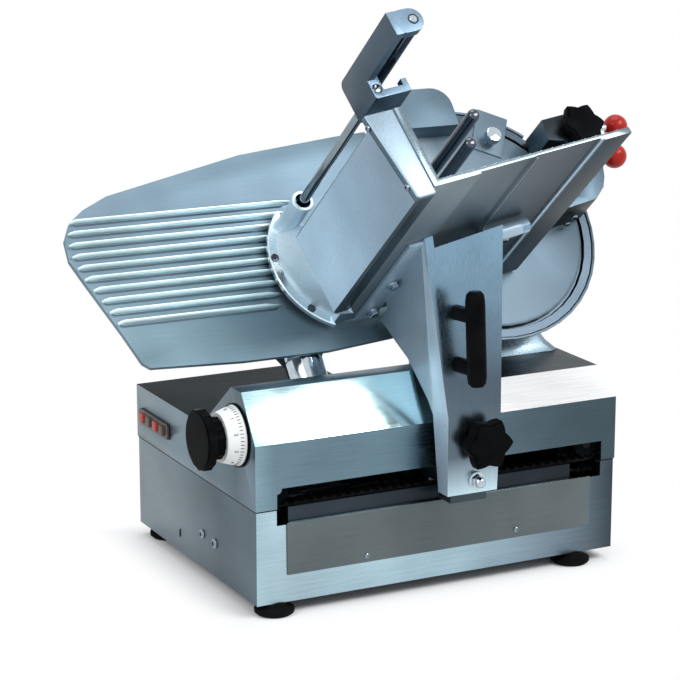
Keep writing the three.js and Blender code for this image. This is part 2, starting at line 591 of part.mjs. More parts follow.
function armFittings() {
  const face = ARM.front - GAP;
  piece('carriage_arm', carriageArm(), STEEL);
  piece('arm_knob', placed(star(ARM_KNOB.hub, ARM_KNOB.hubLength, ARM_KNOB.length), AGAINST_Y, ARM_KNOB.x,
    face, ARM_KNOB.z), BLACK);
  const nut = join(
    drum(ARM_NUT.washer, 0, ARM_NUT.sheet),
    drum(ARM_NUT.hex, ARM_NUT.sheet / 2, ARM_NUT.height, 6),
    turned([[0, ARM_NUT.sheet], [ARM_NUT.dome, ARM_NUT.sheet],
      [ARM_NUT.dome, ARM_NUT.height + ARM_NUT.sheet],
      [ARM_NUT.dome * 0.7, ARM_NUT.height + ARM_NUT.dome * 0.8], [0, ARM_NUT.height + ARM_NUT.dome]], 12),
  );
  piece('arm_nut', placed(nut, AGAINST_Y, ARM_NUT.x, face, ARM_NUT.z), CHROME);
  const seat = TRAY.low - GAP - ARM.sheet - GAP;
  [['upper_arm_bolt', BOLT.upper], ['lower_arm_bolt', BOLT.lower]].forEach(([name, u]) => {
    const bolt = join(drum(BOLT.washer, 0, BOLT.sheet),
      drum(BOLT.head, BOLT.sheet / 2, BOLT.sheet + BOLT.height, 6));
    piece(name, placed(bolt, AGAINST_Y, BOLT.t, seat, u), CHROME, carriage);
  });
}

// The handle stands square on the front plate, so it is drawn upright and leans with the plate
function armHandle() {
  const lean = Math.atan2(ARM.reach * ARM_LEAN_SHARES[0], ARM.rise * (1 - ARM_LEAN_SHARES[1]));
  const [low, high] = [GRIP.bottom - ARM.bend, GRIP.top - ARM.bend];
  const grip = turned([
    [0, low], [GRIP.radius * 0.6, low], [GRIP.radius * 0.9, low + GRIP.radius * 0.35],
    [GRIP.radius, low + GRIP.radius], [GRIP.radius, high - GRIP.radius],
    [GRIP.radius * 0.9, high - GRIP.radius * 0.35], [GRIP.radius * 0.6, high], [0, high],
  ], 16);
  const posts = [low + GRIP.lowPost, high - GRIP.highPost].map((z) => (
    placed(drum(GRIP.post, GAP, GRIP.out, 12), AGAINST_Y, 0, 0, z)));
  return moved(join(placed(grip, ALONG_Z, 0, -GRIP.out, 0), ...posts),
    at(GRIP.x, ARM.front, ARM.bend).multiply(new THREE.Matrix4().makeRotationX(-lean)));
}

// Blade group

function blade() {
  const edge = BLADE.radius;
  const back = -BLADE.floor - BLADE.web;
  return turned([
    [0, -BLADE.hubBack], [BLADE.hub, -BLADE.hubBack], [BLADE.hub + BLADE.floor, back], [DISC.radius, back],
    [edge, -BLADE.edge], [edge, 0], [BLADE.rim, 0], [BLADE.recess, -BLADE.floor], [0, -BLADE.floor],
  ], 44);
}

function sector(inner, outer, from, to, steps) {
  return [...arc(0, 0, outer, from, to, steps), ...arc(0, 0, inner, to, from, steps)];
}

function ringGuard() {
  const { inner, outer, backInner, backOuter, high } = RING;
  const wall = turned([
    [backInner, -RING.webBack], [backOuter, -RING.webBack], [outer, 0], [outer, high], [inner, high],
    [inner, 0], [backInner, -RING.webFront], [backInner, -RING.webBack],
  ], 44);
  const reach = outer + 2 * OVER;
  const rim = wall.intersect(slab(sector(RING.hole, reach, RING.from, RING.to, 12), -RING.webBack, high));
  const window = slab(sector(backInner - OVER, reach, RING.windowFrom, RING.windowTo, 4),
    -RING.webFront, high + OVER);
  const part = slab(sector(RING.hole, reach, RING.from, RING.to, 12), -RING.webBack, -RING.webFront);
  const web = drum(backInner + GAP, -RING.webBack, -RING.webFront, 44).intersect(part);
  const collar = cut(drum(DRUM.radius, -RING.webBack, -RING.webFront, 30),
    drum(RING.hole, -2 * RING.webBack, 0));
  const ear = box([RING.earLeft, RING.earRight], [RING.earLow, RING.earHigh],
    [-RING.webBack, -RING.webFront]);
  return join(cut(rim, window), web, collar, ear);
}

function bladeCover() {
  const disc = turned([
    [0, -DISC.back], [DISC.radius - DISC.bevel, -DISC.back], [DISC.radius, 0], [DISC.radius, DISC.top / 2],
    [DISC.radius - DISC.bevel, DISC.top], [0, DISC.top],
  ], 44);
  const bridge = box([DISC.left, DISC.reach], around(0, DISC.width), [DISC.bridge, DISC.bridgeTop]);
  const turn = THREE.MathUtils.degToRad(DISC_KNOB.angle);
  return join(disc, moved(bridge, new THREE.Matrix4().makeRotationZ(turn)));
}

function coverKnob() {
  const neck = DISC_KNOB.collarHeight + DISC_KNOB.neckHeight;
  const stem = turned([
    [0, 0], [DISC_KNOB.collar, 0], [DISC_KNOB.collar, DISC_KNOB.collarHeight],
      [DISC_KNOB.neck, DISC_KNOB.collarHeight],
    [DISC_KNOB.neck, neck + OVER / 2], [0, neck + OVER / 2],
  ], 16);
  const head = slab(lobed(DISC_KNOB.head, DISC_KNOB.head / 10, 14, 2), neck, DISC_KNOB.height);
  const angle = THREE.MathUtils.degToRad(DISC_KNOB.angle);
  return placed(join(stem, head), ALONG_Z, DISC_KNOB.at * Math.cos(angle), DISC_KNOB.at * Math.sin(angle),
    DISC.bridgeTop + GAP);
}

function topGuard() {
  const skin = (wall) => [
    [DOME.left + wall, DOME.low + wall], [DOME.right - wall, DOME.low + wall],
    ...arc(DOME.right - DOME.corner, DOME.high - DOME.corner, DOME.corner - wall, 0, 90, 6),
      [DOME.left + wall, DOME.high - wall],
  ];
  return cut(slab(skin(0), DOME.bottom, DOME.top), slab(skin(DOME.wall), DOME.bottom - OVER,
    DOME.top - DOME.wall));
}

function bladeColumn() {
  const sections = COLUMN_SHARES.map(([height, x0, x1, y0, y1]) => {
    const x = [x0, x1].map((share) => COLUMN.left + share * COLUMN.width);
    const y = [y0, y1].map((share) => COLUMN.front + share * COLUMN.depth);
    const z = COVER.shoulder + GAP + height * COLUMN.height;
    return rounded(x, y, COLUMN.corner, 2).map(([a, b]) => [a, b, z]);
  });
  const room = BLADE_DRIVE.wheel + BLADE_DRIVE.room;
  const depth = [-BLADE_DRIVE.back - BLADE_DRIVE.opening, -BLADE_DRIVE.front + BLADE_DRIVE.opening];
  const body = join(written(loft(sections), machine, slope),
    drum(DRUM.radius, -DRUM.back, -RING.webBack - GAP, 30));
  return cut(body,
    drum(DRUM.bore + GAP, -BLADE_DRIVE.front, 0, 20), drum(room, ...depth, 24),
    box([-room, room], [-BLADE_DRIVE.distance, 0], depth));
}

function bearing(front) {
  const inner = SHAFT.radius + GAP;
  const outer = DRUM.bore;
  const [low, high] = [-front - BEARING.width, -front];
  return turned([
    [inner, low], [outer, low], [outer, high], [outer - BEARING.race, high],
      [outer - BEARING.race, high - BEARING.groove],
    [inner + BEARING.race, high - BEARING.groove], [inner + BEARING.race, high], [inner, high], [inner, low],
  ]);
}

// The closed path of a flat belt round both pulleys, moved outwards from their rims
function bladeBeltPath(out) {
  const { wheel, motorWheel, distance } = BLADE_DRIVE;
  const lean = THREE.MathUtils.radToDeg(Math.asin((wheel - motorWheel) / distance));
  return [
    ...arc(0, 0, wheel + out, -lean, 180 + lean, 18),
    ...arc(0, -distance, motorWheel + out, 180 + lean, 360 - lean, 10),
  ];
}

function bladeDrive() {
  const { wheel, motorWheel, distance, back, front, belt, axle } = BLADE_DRIVE;
  piece('blade', blade(), STEEL, slope);
  const shaft = join(
    drum(SHAFT.flange, -BLADE.hubBack - GAP - SHAFT.flangeLength, -BLADE.hubBack - GAP, 20),
    drum(SHAFT.radius, -SHAFT.back, -BLADE.hubBack - 2 * GAP, 20),
  );
  piece('blade_shaft', shaft, CHROME, slope);
  piece('front_bearing', bearing(BEARING.front), CHROME, slope);
  piece('rear_bearing', bearing(BEARING.rear), CHROME, slope);
  const holes = Array.from({ length: 5 }, (_, i) => {
    const angle = 2 * Math.PI * i / 5;
    const middle = (wheel + SHAFT.radius) / 2;
    return placed(drum(wheel / 5, -back - OVER, -front + OVER, 8), ALONG_Z, middle * Math.cos(angle),
      middle * Math.sin(angle), 0);
  });
  piece('blade_pulley', cut(drum(wheel, -back, -front, 30), drum(SHAFT.radius + GAP, -back - OVER, 0, 20),
    ...holes), ALUMINIUM, slope);
  piece('blade_belt', slab(bladeBeltPath(GAP + belt), -back, -front, bladeBeltPath(GAP).reverse()),
    RUBBER, slope);
  const motorWheelShape = cut(drum(motorWheel, -back, -front), drum(axle + GAP, -back - OVER, 0));
  piece('motor_pulley', placed(motorWheelShape, ALONG_Z, 0, -distance, 0), ALUMINIUM, slope);
  const body = turned([
    [0, -MOTOR.back], [MOTOR.bell, -MOTOR.back], [MOTOR.radius, -MOTOR.back + MOTOR.bellLength],
      [MOTOR.radius, -MOTOR.front - MOTOR.bellLength],
    [MOTOR.bell, -MOTOR.front], [axle, -MOTOR.front], [axle, -front], [0, -front],
  ]);
  const panTop = BASE.foot + BASE.floor + 2 * GAP + BASE.sheet;
  const stand = box(around(BLADE_CENTRE.x, MOTOR.footWidth), [MOTOR.footFront, MOTOR.footBack],
    [panTop, BASE.seam - BASE.wall]);
  const motor = placed(body, ALONG_Z, 0, -distance, 0);
  piece('blade_motor', join(motor, written(stand, machine, slope)), BLACK, slope);
}

function guards() {
  piece('ring_guard', ringGuard(), ALUMINIUM, slope);
  piece('blade_cover', bladeCover(), ALUMINIUM, slope);
  piece('blade_cover_knob', coverKnob(), CHROME, slope);
  piece('top_guard', topGuard(), ALUMINIUM, slope);
  piece('blade_column', bladeColumn(), ALUMINIUM, slope);
}

// Sharpener

function sharpenerBody() {
  const outline = scaled(SHARPENER_SHARES, SHARPENER.width, SHARPENER.height, SHARPENER.left, SHARPENER.low);
  const right = SHARPENER.left + SHARPENER.width;
  const seat = -RING.webFront + GAP;
  const foot = box([SHARPENER_FOOT.left, right], [SHARPENER_FOOT.low, SHARPENER_FOOT.high],
    [seat, SHARPENER.bottom + OVER]);
  const arm = box([STONE.x - SHARPENER_FOOT.arm, SHARPENER_FOOT.left + OVER],
    around(STONE.n, 2 * SHARPENER_FOOT.arm),
    [seat, seat + SHARPENER_FOOT.sheet]);
  const pocket = placed(drum(STONE.radius + STONE.room, 0, STONE.frontBottom + STONE.height + STONE.room),
    ALONG_Z, STONE.x, STONE.n, 0);
  const rearPin = placed(drum(STONE.pin, seat, -STONE.backBottom + STONE.height - STONE.room, 12),
    ALONG_Z, STONE.x, STONE.n, 0);
  const frontPin = placed(drum(STONE.pin, STONE.frontBottom + STONE.room, SHARPENER.bottom + 2 * OVER,
    12), ALONG_Z, STONE.x, STONE.n, 0);
  const bores = [UPPER_BALL, LOWER_BALL].map(({ n, left }) => (
    placed(drum(BALL.rod + GAP, left - BALL.travel - BALL.room, right + OVER, 12), ALONG_X, 0, n, BALL.u)));
  return cut(join(cut(join(slab(outline, SHARPENER.bottom, SHARPENER.top), foot), pocket), arm, rearPin,
    frontPin), ...bores);
}

function ballRod({ x, n, left }) {
  const profile = arc(0, 0, BALL.radius, -90, 90, 8).map(([r, h]) => [Math.abs(r) < GAP ? 0 : r, h]);
  return join(
    placed(turned(profile, 14), ALONG_X, x, n, BALL.u),
    placed(drum(BALL.rod, left, x, 12), ALONG_X, 0, n, BALL.u),
  );
}

function stone(bottom) {
  const ring = cut(drum(STONE.radius, 0, STONE.height, 20),
    drum(STONE.pin + GAP, -OVER, STONE.height + OVER, 12));
  return placed(ring, ALONG_Z, STONE.x, STONE.n, bottom);
}

function sharpener() {
  piece('sharpener_body', sharpenerBody(), ALUMINIUM, slope);
  piece('upper_ball_rod', ballRod(UPPER_BALL), RED, slope);
  piece('lower_ball_rod', ballRod(LOWER_BALL), RED, slope);
  piece('grinding_stone', stone(-STONE.backBottom), STONE_GREY, slope);
  piece('truing_stone', stone(STONE.frontBottom), STONE_GREY, slope);
  const knob = star(SHARPENER_KNOB.hub, SHARPENER_KNOB.hubLength, SHARPENER_KNOB.length);
  piece('sharpener_knob', placed(knob, ALONG_Z, SHARPENER_KNOB.x, SHARPENER_KNOB.n, SHARPENER.top + GAP),
    BLACK, slope);
}

// Gauge plate

function ridge(i) {
  const n = RIDGE.first - i * RIDGE.pitch;
  const last = RIDGE_START_SHARES.length - 1;
  const left = -PLATE.reach * RIDGE_START_SHARES[i];
  const right = RIDGE.rightFirst + (RIDGE.rightLast - RIDGE.rightFirst) * i / last;
  const half = RIDGE.width / 2;
  const rise = RIDGE.crown / 2;
  const foot = [...arc(left + half, n, half, 90, 270, 3), ...arc(right - half, n, half, -90, 90, 3)];
  const crown = [...arc(left + half, n, rise, 90, 270, 3), ...arc(right - half, n, rise, -90, 90, 3)];
  const level = (points, z) => points.map(([a, b]) => [a, b, z]);
  return loft([level(foot, -PLATE.skin / 2), level(foot, 0), level(crown, RIDGE.height)]);
}

function gaugePlate() {
  const angle = (share) => THREE.MathUtils.radToDeg(Math.acos(PLATE.reach * share / PLATE.edge));
  const outline = [
    ...scaled(PLATE_SHARES, PLATE.reach, PLATE.drop, 0, 0),
    ...arc(0, 0, PLATE.edge, 360 - angle(PLATE_FOOT_SHARE), angle(PLATE_TOP_SHARE), 16),
  ];
  const inner = outline.map(([a, b]) => [PLATE.x + (a - PLATE.x) * PLATE.hollow,
    b * PLATE.hollow]);
  const hollow = slab(inner, -PLATE.thickness - OVER, -PLATE.skin);
  const seat = box(around(POST.x, 2 * POST.flangeHalf), [-PLATE.drop + OVER, POST.flangeTop],
    [-PLATE.thickness, -PLATE.skin + GAP]);
  return join(cut(slab(outline, -PLATE.thickness, 0), hollow), seat,
    ...RIDGE_START_SHARES.map((_, i) => ridge(i)));
}

function gaugeArm() {
  const face = -PLATE.thickness - GAP;
  const half = POST.flangeHalf;
  const top = rounded([POST.x - half, POST.x + half], [-face, POST.flangeBack], OVER);
  const neck = rounded(around(POST.x, 2 * POST.radius), around(-POST.u, 2 * POST.radius), POST.radius - GAP);
  const level = (points, h) => points.map(([a, b]) => [a, b, h]);
  const low = -PLATE.drop + OVER;
  const body = loft([level(neck, low - POST.radius / 2), level(neck, POST.top + GAP),
    level(top, POST.top + POST.radius), level(top, POST.flangeTop)]);
  const clear = box([-PLATE.reach, PLATE.reach], [-PLATE.reach, PLATE.reach], [face, PLATE.reach]);
  const post = placed(drum(POST.radius, POST.foot - OVER, POST.top + OVER, 24), ALONG_Y, POST.x, 0, POST.u);
  const sleeve = box(around(POST.x, 2 * SLEEVE.half), [SLEEVE.low, POST.foot], [SLEEVE.back, SLEEVE.front]);
  const bore = placed(drum(GUIDE.radius + GAP, SLEEVE.back - OVER, SLEEVE.front + OVER), ALONG_Z, POST.x,
    GUIDE.n, 0);
  return cut(join(cut(moved(body, ALONG_Y), clear), post, sleeve), bore);
}

function thicknessSetting() {
  const { low, high } = gaugeLugs();
  piece('gauge_plate', gaugePlate(), ALUMINIUM, slope);
  piece('gauge_arm', gaugeArm(), CHROME, slope);
  piece('gauge_guide', placed(drum(GUIDE.radius, low, high), ALONG_Z, POST.x, GUIDE.n, 0), CHROME, slope);
  const bore = (length) => drum(DIAL_SHAFT.radius + GAP, -OVER, length);
  const dial = turned([
    [0, 0], [DIAL.ring, 0], [DIAL.ring, DIAL.front], [DIAL.radius, DIAL.front],
      [DIAL.tip, DIAL.front + DIAL.length], [0, DIAL.front + DIAL.length],
  ], 28);
  const reach = DIAL.front + DIAL.length;
  piece('thickness_dial', placed(cut(dial, bore(reach + OVER)), AGAINST_X, -GAP, DIAL.y, DIAL.z), WHITE);
  const knobStart = reach + GAP;
  const disc = knobStart + DIAL_KNOB.hubLength;
  const edge = DIAL_KNOB.dip;
  const knob = join(
    slab(lobed(DIAL_KNOB.hub, DIAL_KNOB.dip, DIAL_KNOB.lobes, 2), knobStart, disc + edge),
    slab(lobed(DIAL_KNOB.disc, DIAL_KNOB.dip, DIAL_KNOB.lobes, 2), disc + edge,
      disc + DIAL_KNOB.length - edge),
    drum(DIAL_KNOB.disc - 2 * edge, disc, disc + DIAL_KNOB.length, 24),
  );
  piece('thickness_knob', placed(cut(knob, bore(disc + edge)), AGAINST_X, -GAP, DIAL.y, DIAL.z), BLACK);
  const shaft = join(
    drum(DIAL_SHAFT.radius, -DIAL_SHAFT.length, disc + edge - GAP),
    placed(drum(DIAL_SHAFT.cam, -DIAL_SHAFT.length - DIAL_SHAFT.camLength, -DIAL_SHAFT.length), ALONG_Z,
      DIAL_SHAFT.offset, 0, 0),
  );
  piece('thickness_shaft', placed(shaft, AGAINST_X, -GAP, DIAL.y, DIAL.z), CHROME);
}

// Tray and pusher

function productTray() {
  const { left, wall, right, low, floor, high, stripLeft, step, stripRight, thin, thinner, serration,
    pitch } = TRAY;
  const top = low + floor;
  const inner = left + wall;
  const count = Math.floor((right - inner) / pitch) - 1;
  const serrations = Array.from({ length: count }, (_, i) => {
    const t = right - (i + 1) * pitch;
    return [[t, top], [t - serration, top + serration], [t - 2 * serration, top]];
  }).flat();
  const outline = [
    [left, low], [stripLeft, low], [stripLeft, low + thin], [step, low + thin], [step, low + thinner],
    [stripRight, low + thinner], [stripRight, low], [right, low], [right, top], ...serrations,
    [inner, top], [inner, high], [left, high],
  ];
  return slab(outline, TRAY.foot, TRAY.top);
}

function endHousing() {
  const outline = scaled(HOUSING_SHARES, HOUSING_SIZE.width, HOUSING_SIZE.height, TRAY.left - GAP,
    TRAY.high - HOUSING_SIZE.height);
  const reversed = outline.slice().reverse();
  return cut(slab(reversed, HOUSING.bottom, TRAY.top),
    slab(inset(reversed, HOUSING.wall), HOUSING.bottom - OVER, TRAY.top - HOUSING.wall));
}

function rodSocket() {
  const level = (shares, z) => scaled(shares, SOCKET.width, SOCKET.height, TRAY.left - GAP,
    SOCKET.low).map(([a, b]) => [a, b, z]);
  const flange = loft([
    level(SOCKET_SHARES, TRAY.foot), level(SOCKET_SHARES, TRAY.foot + SOCKET.flange),
      level(SOCKET_NECK_SHARES, HOUSING.bottom - GAP),
  ]);
  const tube = placed(drum(SOCKET.tube, TRAY.foot, SOCKET.tubeHigh), ALONG_Z, ROD.t, ROD.w, 0);
  const bore = placed(drum(SOCKET.bore + GAP, SOCKET.tubeLow, SOCKET.tubeHigh + OVER, 16), ALONG_Z, ROD.t,
    ROD.w, 0);
  const wall = box([TRAY.left - GAP, 0], [-SOCKET.height, TRAY.high + GAP], [0, SOCKET.tubeHigh + OVER]);
  return cut(join(flange, tube), bore, wall);
}

function pusherBracket() {
  const { left, thickness, low, high, bottom, top, corner, arms, footRight, hubLow, hubTop } = BRACKET;
  const upright = box([left, left + thickness], [low, high], [bottom, top]);
  const lug = (from) => slab(rounded([left, footRight], [low, high], (high - low) / 2 - GAP, 5), from,
    from + arms);
  const hub = slab(rounded([left, BRACKET.hubRight], [hubLow, low + OVER], OVER / 2, 2), bottom, hubTop);
  const block = box([left + OVER, BRACKET.blockRight], [hubLow, BRACKET.blockHigh], [bottom, hubTop]);
  const nub = box([BRACKET.blockRight - BRACKET.nub, BRACKET.blockRight],
    [hubLow, BRACKET.blockHigh + BRACKET.nubHeight], [hubTop - thickness, hubTop]);
  const tabLeft = PRESS.left + STEM.width + GAP;
  const tab = box([tabLeft, tabLeft + BRACKET.tab], [STEM.low, hubLow + OVER], [bottom, bottom + thickness]);
  const bore = placed(drum(ROD.radius + GAP, bottom - OVER, top - arms - OVER, 16), ALONG_Z, ROD.t, ROD.w,
    0);
  const round = bar([
    [high + OVER, bottom - OVER], [high + OVER, bottom + corner],
    ...arc(high - corner, bottom + corner, corner, 0, -90, 5), [high - corner, bottom - OVER],
  ], left - OVER, footRight + OVER);
  return cut(join(upright, lug(bottom), lug(top - arms), hub, block, nub, tab), bore, round);
}

function pressPlate() {
  const { left, right, low, high, bottom, thickness, spike, spikeRadius } = PRESS;
  const plate = slab(rounded([left, right], [low, high], OVER, 3), bottom, bottom + thickness);
  const stem = box([left, left + STEM.width], [STEM.low, STEM.high],
    [bottom + thickness / 2, BRACKET.bottom + 2 * BRACKET.thickness]);
  const spikes = [];
  for (let column = 1; column < 5; column += 1) {
    for (let row = 1; row < 4; row += 1) {
      const cone = turned([[0, bottom - spike], [spikeRadius, bottom + GAP], [0, bottom + GAP]], 6);
      spikes.push(placed(cone, ALONG_Z, left + (right - left) * column / 5, low + (high - low) * row / 4,
        0));
    }
  }
  return join(plate, stem, ...spikes);
}

function trayAndPusher() {
  piece('product_tray', productTray(), ALUMINIUM, carriage);
  piece('end_housing', endHousing(), ALUMINIUM, carriage);
  piece('rod_socket', rodSocket(), ALUMINIUM, carriage);
  const rod = turned([
    [0, ROD.bottom], [ROD.radius, ROD.bottom], [ROD.radius, ROD.top - ROD.tip],
      [ROD.radius - ROD.tip, ROD.top], [0, ROD.top],
  ], 16);
  piece('pusher_rod', placed(rod, ALONG_Z, ROD.t, ROD.w, 0), CHROME, carriage);
  piece('pusher_bracket', pusherBracket(), ALUMINIUM, carriage);
  const grip = drum(HAND_GRIP.radius, BRACKET.bottom + BRACKET.arms + 2 * GAP,
    BRACKET.top - BRACKET.arms - GAP, 16);
  piece('pusher_grip', placed(grip, ALONG_Z, HAND_GRIP.t, HAND_GRIP.w, 0), DARK_CHROME, carriage);
  piece('press_plate', pressPlate(), ALUMINIUM, carriage);
  [['upper_post', UPPER_PIN], ['lower_post', LOWER_PIN]].forEach(([name, { t, w }]) => {
    const low = PRESS.bottom + PRESS.thickness + GAP;
    const pin = turned([
      [0, low], [PIN.radius, low], [PIN.radius, PIN.top - PIN.dome],
        [PIN.radius * 0.8, PIN.top - PIN.dome / 3], [0, PIN.top],
    ], 16);
    piece(name, placed(pin, ALONG_Z, t, w, 0), DARK_CHROME, carriage);
  });
}

base();
switches();
carriageDrive();
armFittings();
piece('arm_handle', armHandle(), BLACK);
bladeDrive();
guards();
sharpener();
thicknessSetting();
trayAndPusher();

// The origin is at the bottom centre of the whole machine's box
machine.updateMatrixWorld(true);
const bounds = new THREE.Box3().setFromObject(machine, true);
machine.position.set(-(bounds.min.x + bounds.max.x) / 2, -(bounds.min.y + bounds.max.y) / 2, -bounds.min.z);

export default machine;
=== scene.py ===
import json
import math

import bmesh
import bpy
from mathutils import Matrix, Vector


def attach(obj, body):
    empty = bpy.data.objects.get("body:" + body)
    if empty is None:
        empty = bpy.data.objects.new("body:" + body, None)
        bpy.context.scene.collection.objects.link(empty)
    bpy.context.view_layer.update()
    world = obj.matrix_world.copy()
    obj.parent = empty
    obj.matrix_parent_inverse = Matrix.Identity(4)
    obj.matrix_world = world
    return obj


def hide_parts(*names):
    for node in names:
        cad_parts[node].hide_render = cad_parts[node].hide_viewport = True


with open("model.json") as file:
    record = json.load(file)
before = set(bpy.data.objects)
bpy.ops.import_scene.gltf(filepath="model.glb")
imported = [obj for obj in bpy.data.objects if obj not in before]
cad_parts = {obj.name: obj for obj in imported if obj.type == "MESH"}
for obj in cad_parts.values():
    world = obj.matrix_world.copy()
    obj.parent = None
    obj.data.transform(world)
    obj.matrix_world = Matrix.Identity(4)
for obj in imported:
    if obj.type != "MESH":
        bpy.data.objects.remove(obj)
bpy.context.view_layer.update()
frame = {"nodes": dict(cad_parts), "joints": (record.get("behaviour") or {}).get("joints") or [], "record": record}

# The slicer's own directions, read from its joints
joints = {joint["name"]: joint for joint in frame["joints"]}
bladeCentre = Vector(joints["blade_spin"]["pos_m"])
towardsFood = Vector(joints["blade_spin"]["axis"]).normalized()
upSlope = Vector((0, towardsFood.z, -towardsFood.y))
alongBase = Vector((1, 0, 0))
millimetre = 0.001

trayTurn = math.radians(9.5)  # the tray leans back from the base's length
trayAcross = alongBase * math.cos(trayTurn) + upSlope * math.sin(trayTurn)
trayAway = upSlope * math.cos(trayTurn) - alongBase * math.sin(trayTurn)
traySquare = Matrix((trayAcross, trayAway, towardsFood)).transposed().to_euler()
dialAt = (0, 52, 216)  # from the base's lower front left corner
baseCorner = Vector(joints["thickness_turn"]["pos_m"]) - Vector(dialAt) * millimetre
toFront = Vector((0, -1, 0))
toLeft = Vector((-1, 0, 0))
upwards = Vector((0, 0, 1))


# Places in millimetres, as points of the frame: x runs along the base, n up the blade's slope and u from
# the blade towards the food, while t and w are x and n turned with the tray
def onSlope(x, n, u):
    return bladeCentre + (alongBase * x + upSlope * n + towardsFood * u) * millimetre


def onTray(t, w, u):
    return bladeCentre + (trayAcross * t + trayAway * w + towardsFood * u) * millimetre


def onBase(x, y, z):
    return baseCorner + Vector((x, y, z)) * millimetre


# Camera
cameraSettings = {
    "fromBlade": (-1.58075, -2.74857, 0.639),
    "turn": 26.75,
    "dip": 14.08,
    "lens": 132.25,
    "sensor": 36,
}


def addCamera():
    s = cameraSettings
    data = bpy.data.cameras.new("photoCamera")
    data.lens = s["lens"]
    data.sensor_width = s["sensor"]
    data.clip_end = 50
    camera = bpy.data.objects.new("photoCamera", data)
    camera.location = bladeCentre + Vector(s["fromBlade"])
    camera.rotation_euler = (math.radians(90 - s["dip"]), 0, -math.radians(s["turn"]))
    bpy.context.scene.collection.objects.link(camera)
    bpy.context.scene.camera = camera
    print("camera placed")


# Lamps, world and floor
lampSettings = [
    {"name": "frontSoftbox", "place": (1.7, -2.3, 3.0), "size": (2.6, 1.5), "power": 95},
    {"name": "leftSoftbox", "place": (-3.2, -1.2, 2.2), "size": (1.6, 2.4), "power": 45},
    {"name": "topSoftbox", "place": (0.2, 0.6, 3.4), "size": (2.4, 2.4), "power": 40},
]
lampAim = (0, 0, 0.35)
worldSettings = {"seen": 1.0, "light": 0.55, "colour": (0.95, 0.97, 1, 1)}
floorSettings = {
    "size": 60, "colour": (0.93, 0.93, 0.94, 1), "rough": 0.9, "sheen": 0.1,
    "middle": (-0.008, 0.072), "half": (0.25, 0.183),  # the rectangle that the base stands on
    "shaded": 0.9, "white": 1.25,  # the shadow fades out between these shares of the rectangle
}


def addLamps():
    for s in lampSettings:
        data = bpy.data.lights.new(s["name"], "AREA")
        data.shape = "RECTANGLE"
        data.size, data.size_y = s["size"]
        data.energy = s["power"]
        lamp = bpy.data.objects.new(s["name"], data)
        lamp.location = s["place"]
        aim = Vector(lampAim) - Vector(s["place"])
        lamp.rotation_euler = aim.to_track_quat("-Z", "Y").to_euler()
        bpy.context.scene.collection.objects.link(lamp)
    print("lamps placed:", len(lampSettings))


def mathNode(tree, operation, *values):
    node = tree.nodes.new("ShaderNodeMath")
    node.operation = operation
    for socket, value in zip(node.inputs, values):
        tree.links.new(value, socket)
    return node.outputs["Value"]


def addWorld():
    # white where the camera, a reflection or glass looks at it, and dimmer as a light
    world = bpy.data.worlds.new("paleStudio")
    world.use_nodes = True
    bpy.context.scene.world = world
    tree = world.node_tree
    tree.nodes.clear()
    path = tree.nodes.new("ShaderNodeLightPath").outputs
    seen = mathNode(tree, "MAXIMUM", path["Is Camera Ray"], path["Is Glossy Ray"])
    seen = mathNode(tree, "MAXIMUM", seen, path["Is Transmission Ray"])
    light = tree.nodes.new("ShaderNodeBackground")
    light.inputs["Color"].default_value = worldSettings["colour"]
    light.inputs["Strength"].default_value = worldSettings["light"]
    white = tree.nodes.new("ShaderNodeBackground")
    white.inputs["Color"].default_value = (1, 1, 1, 1)
    white.inputs["Strength"].default_value = worldSettings["seen"]
    mix = tree.nodes.new("ShaderNodeMixShader")
    out = tree.nodes.new("ShaderNodeOutputWorld")
    tree.links.new(seen, mix.inputs["Fac"])
    tree.links.new(light.outputs[0], mix.inputs[1])
    tree.links.new(white.outputs[0], mix.inputs[2])
    tree.links.new(mix.outputs[0], out.inputs["Surface"])
    bpy.context.scene.view_settings.view_transform = "Standard"
    print("world made")


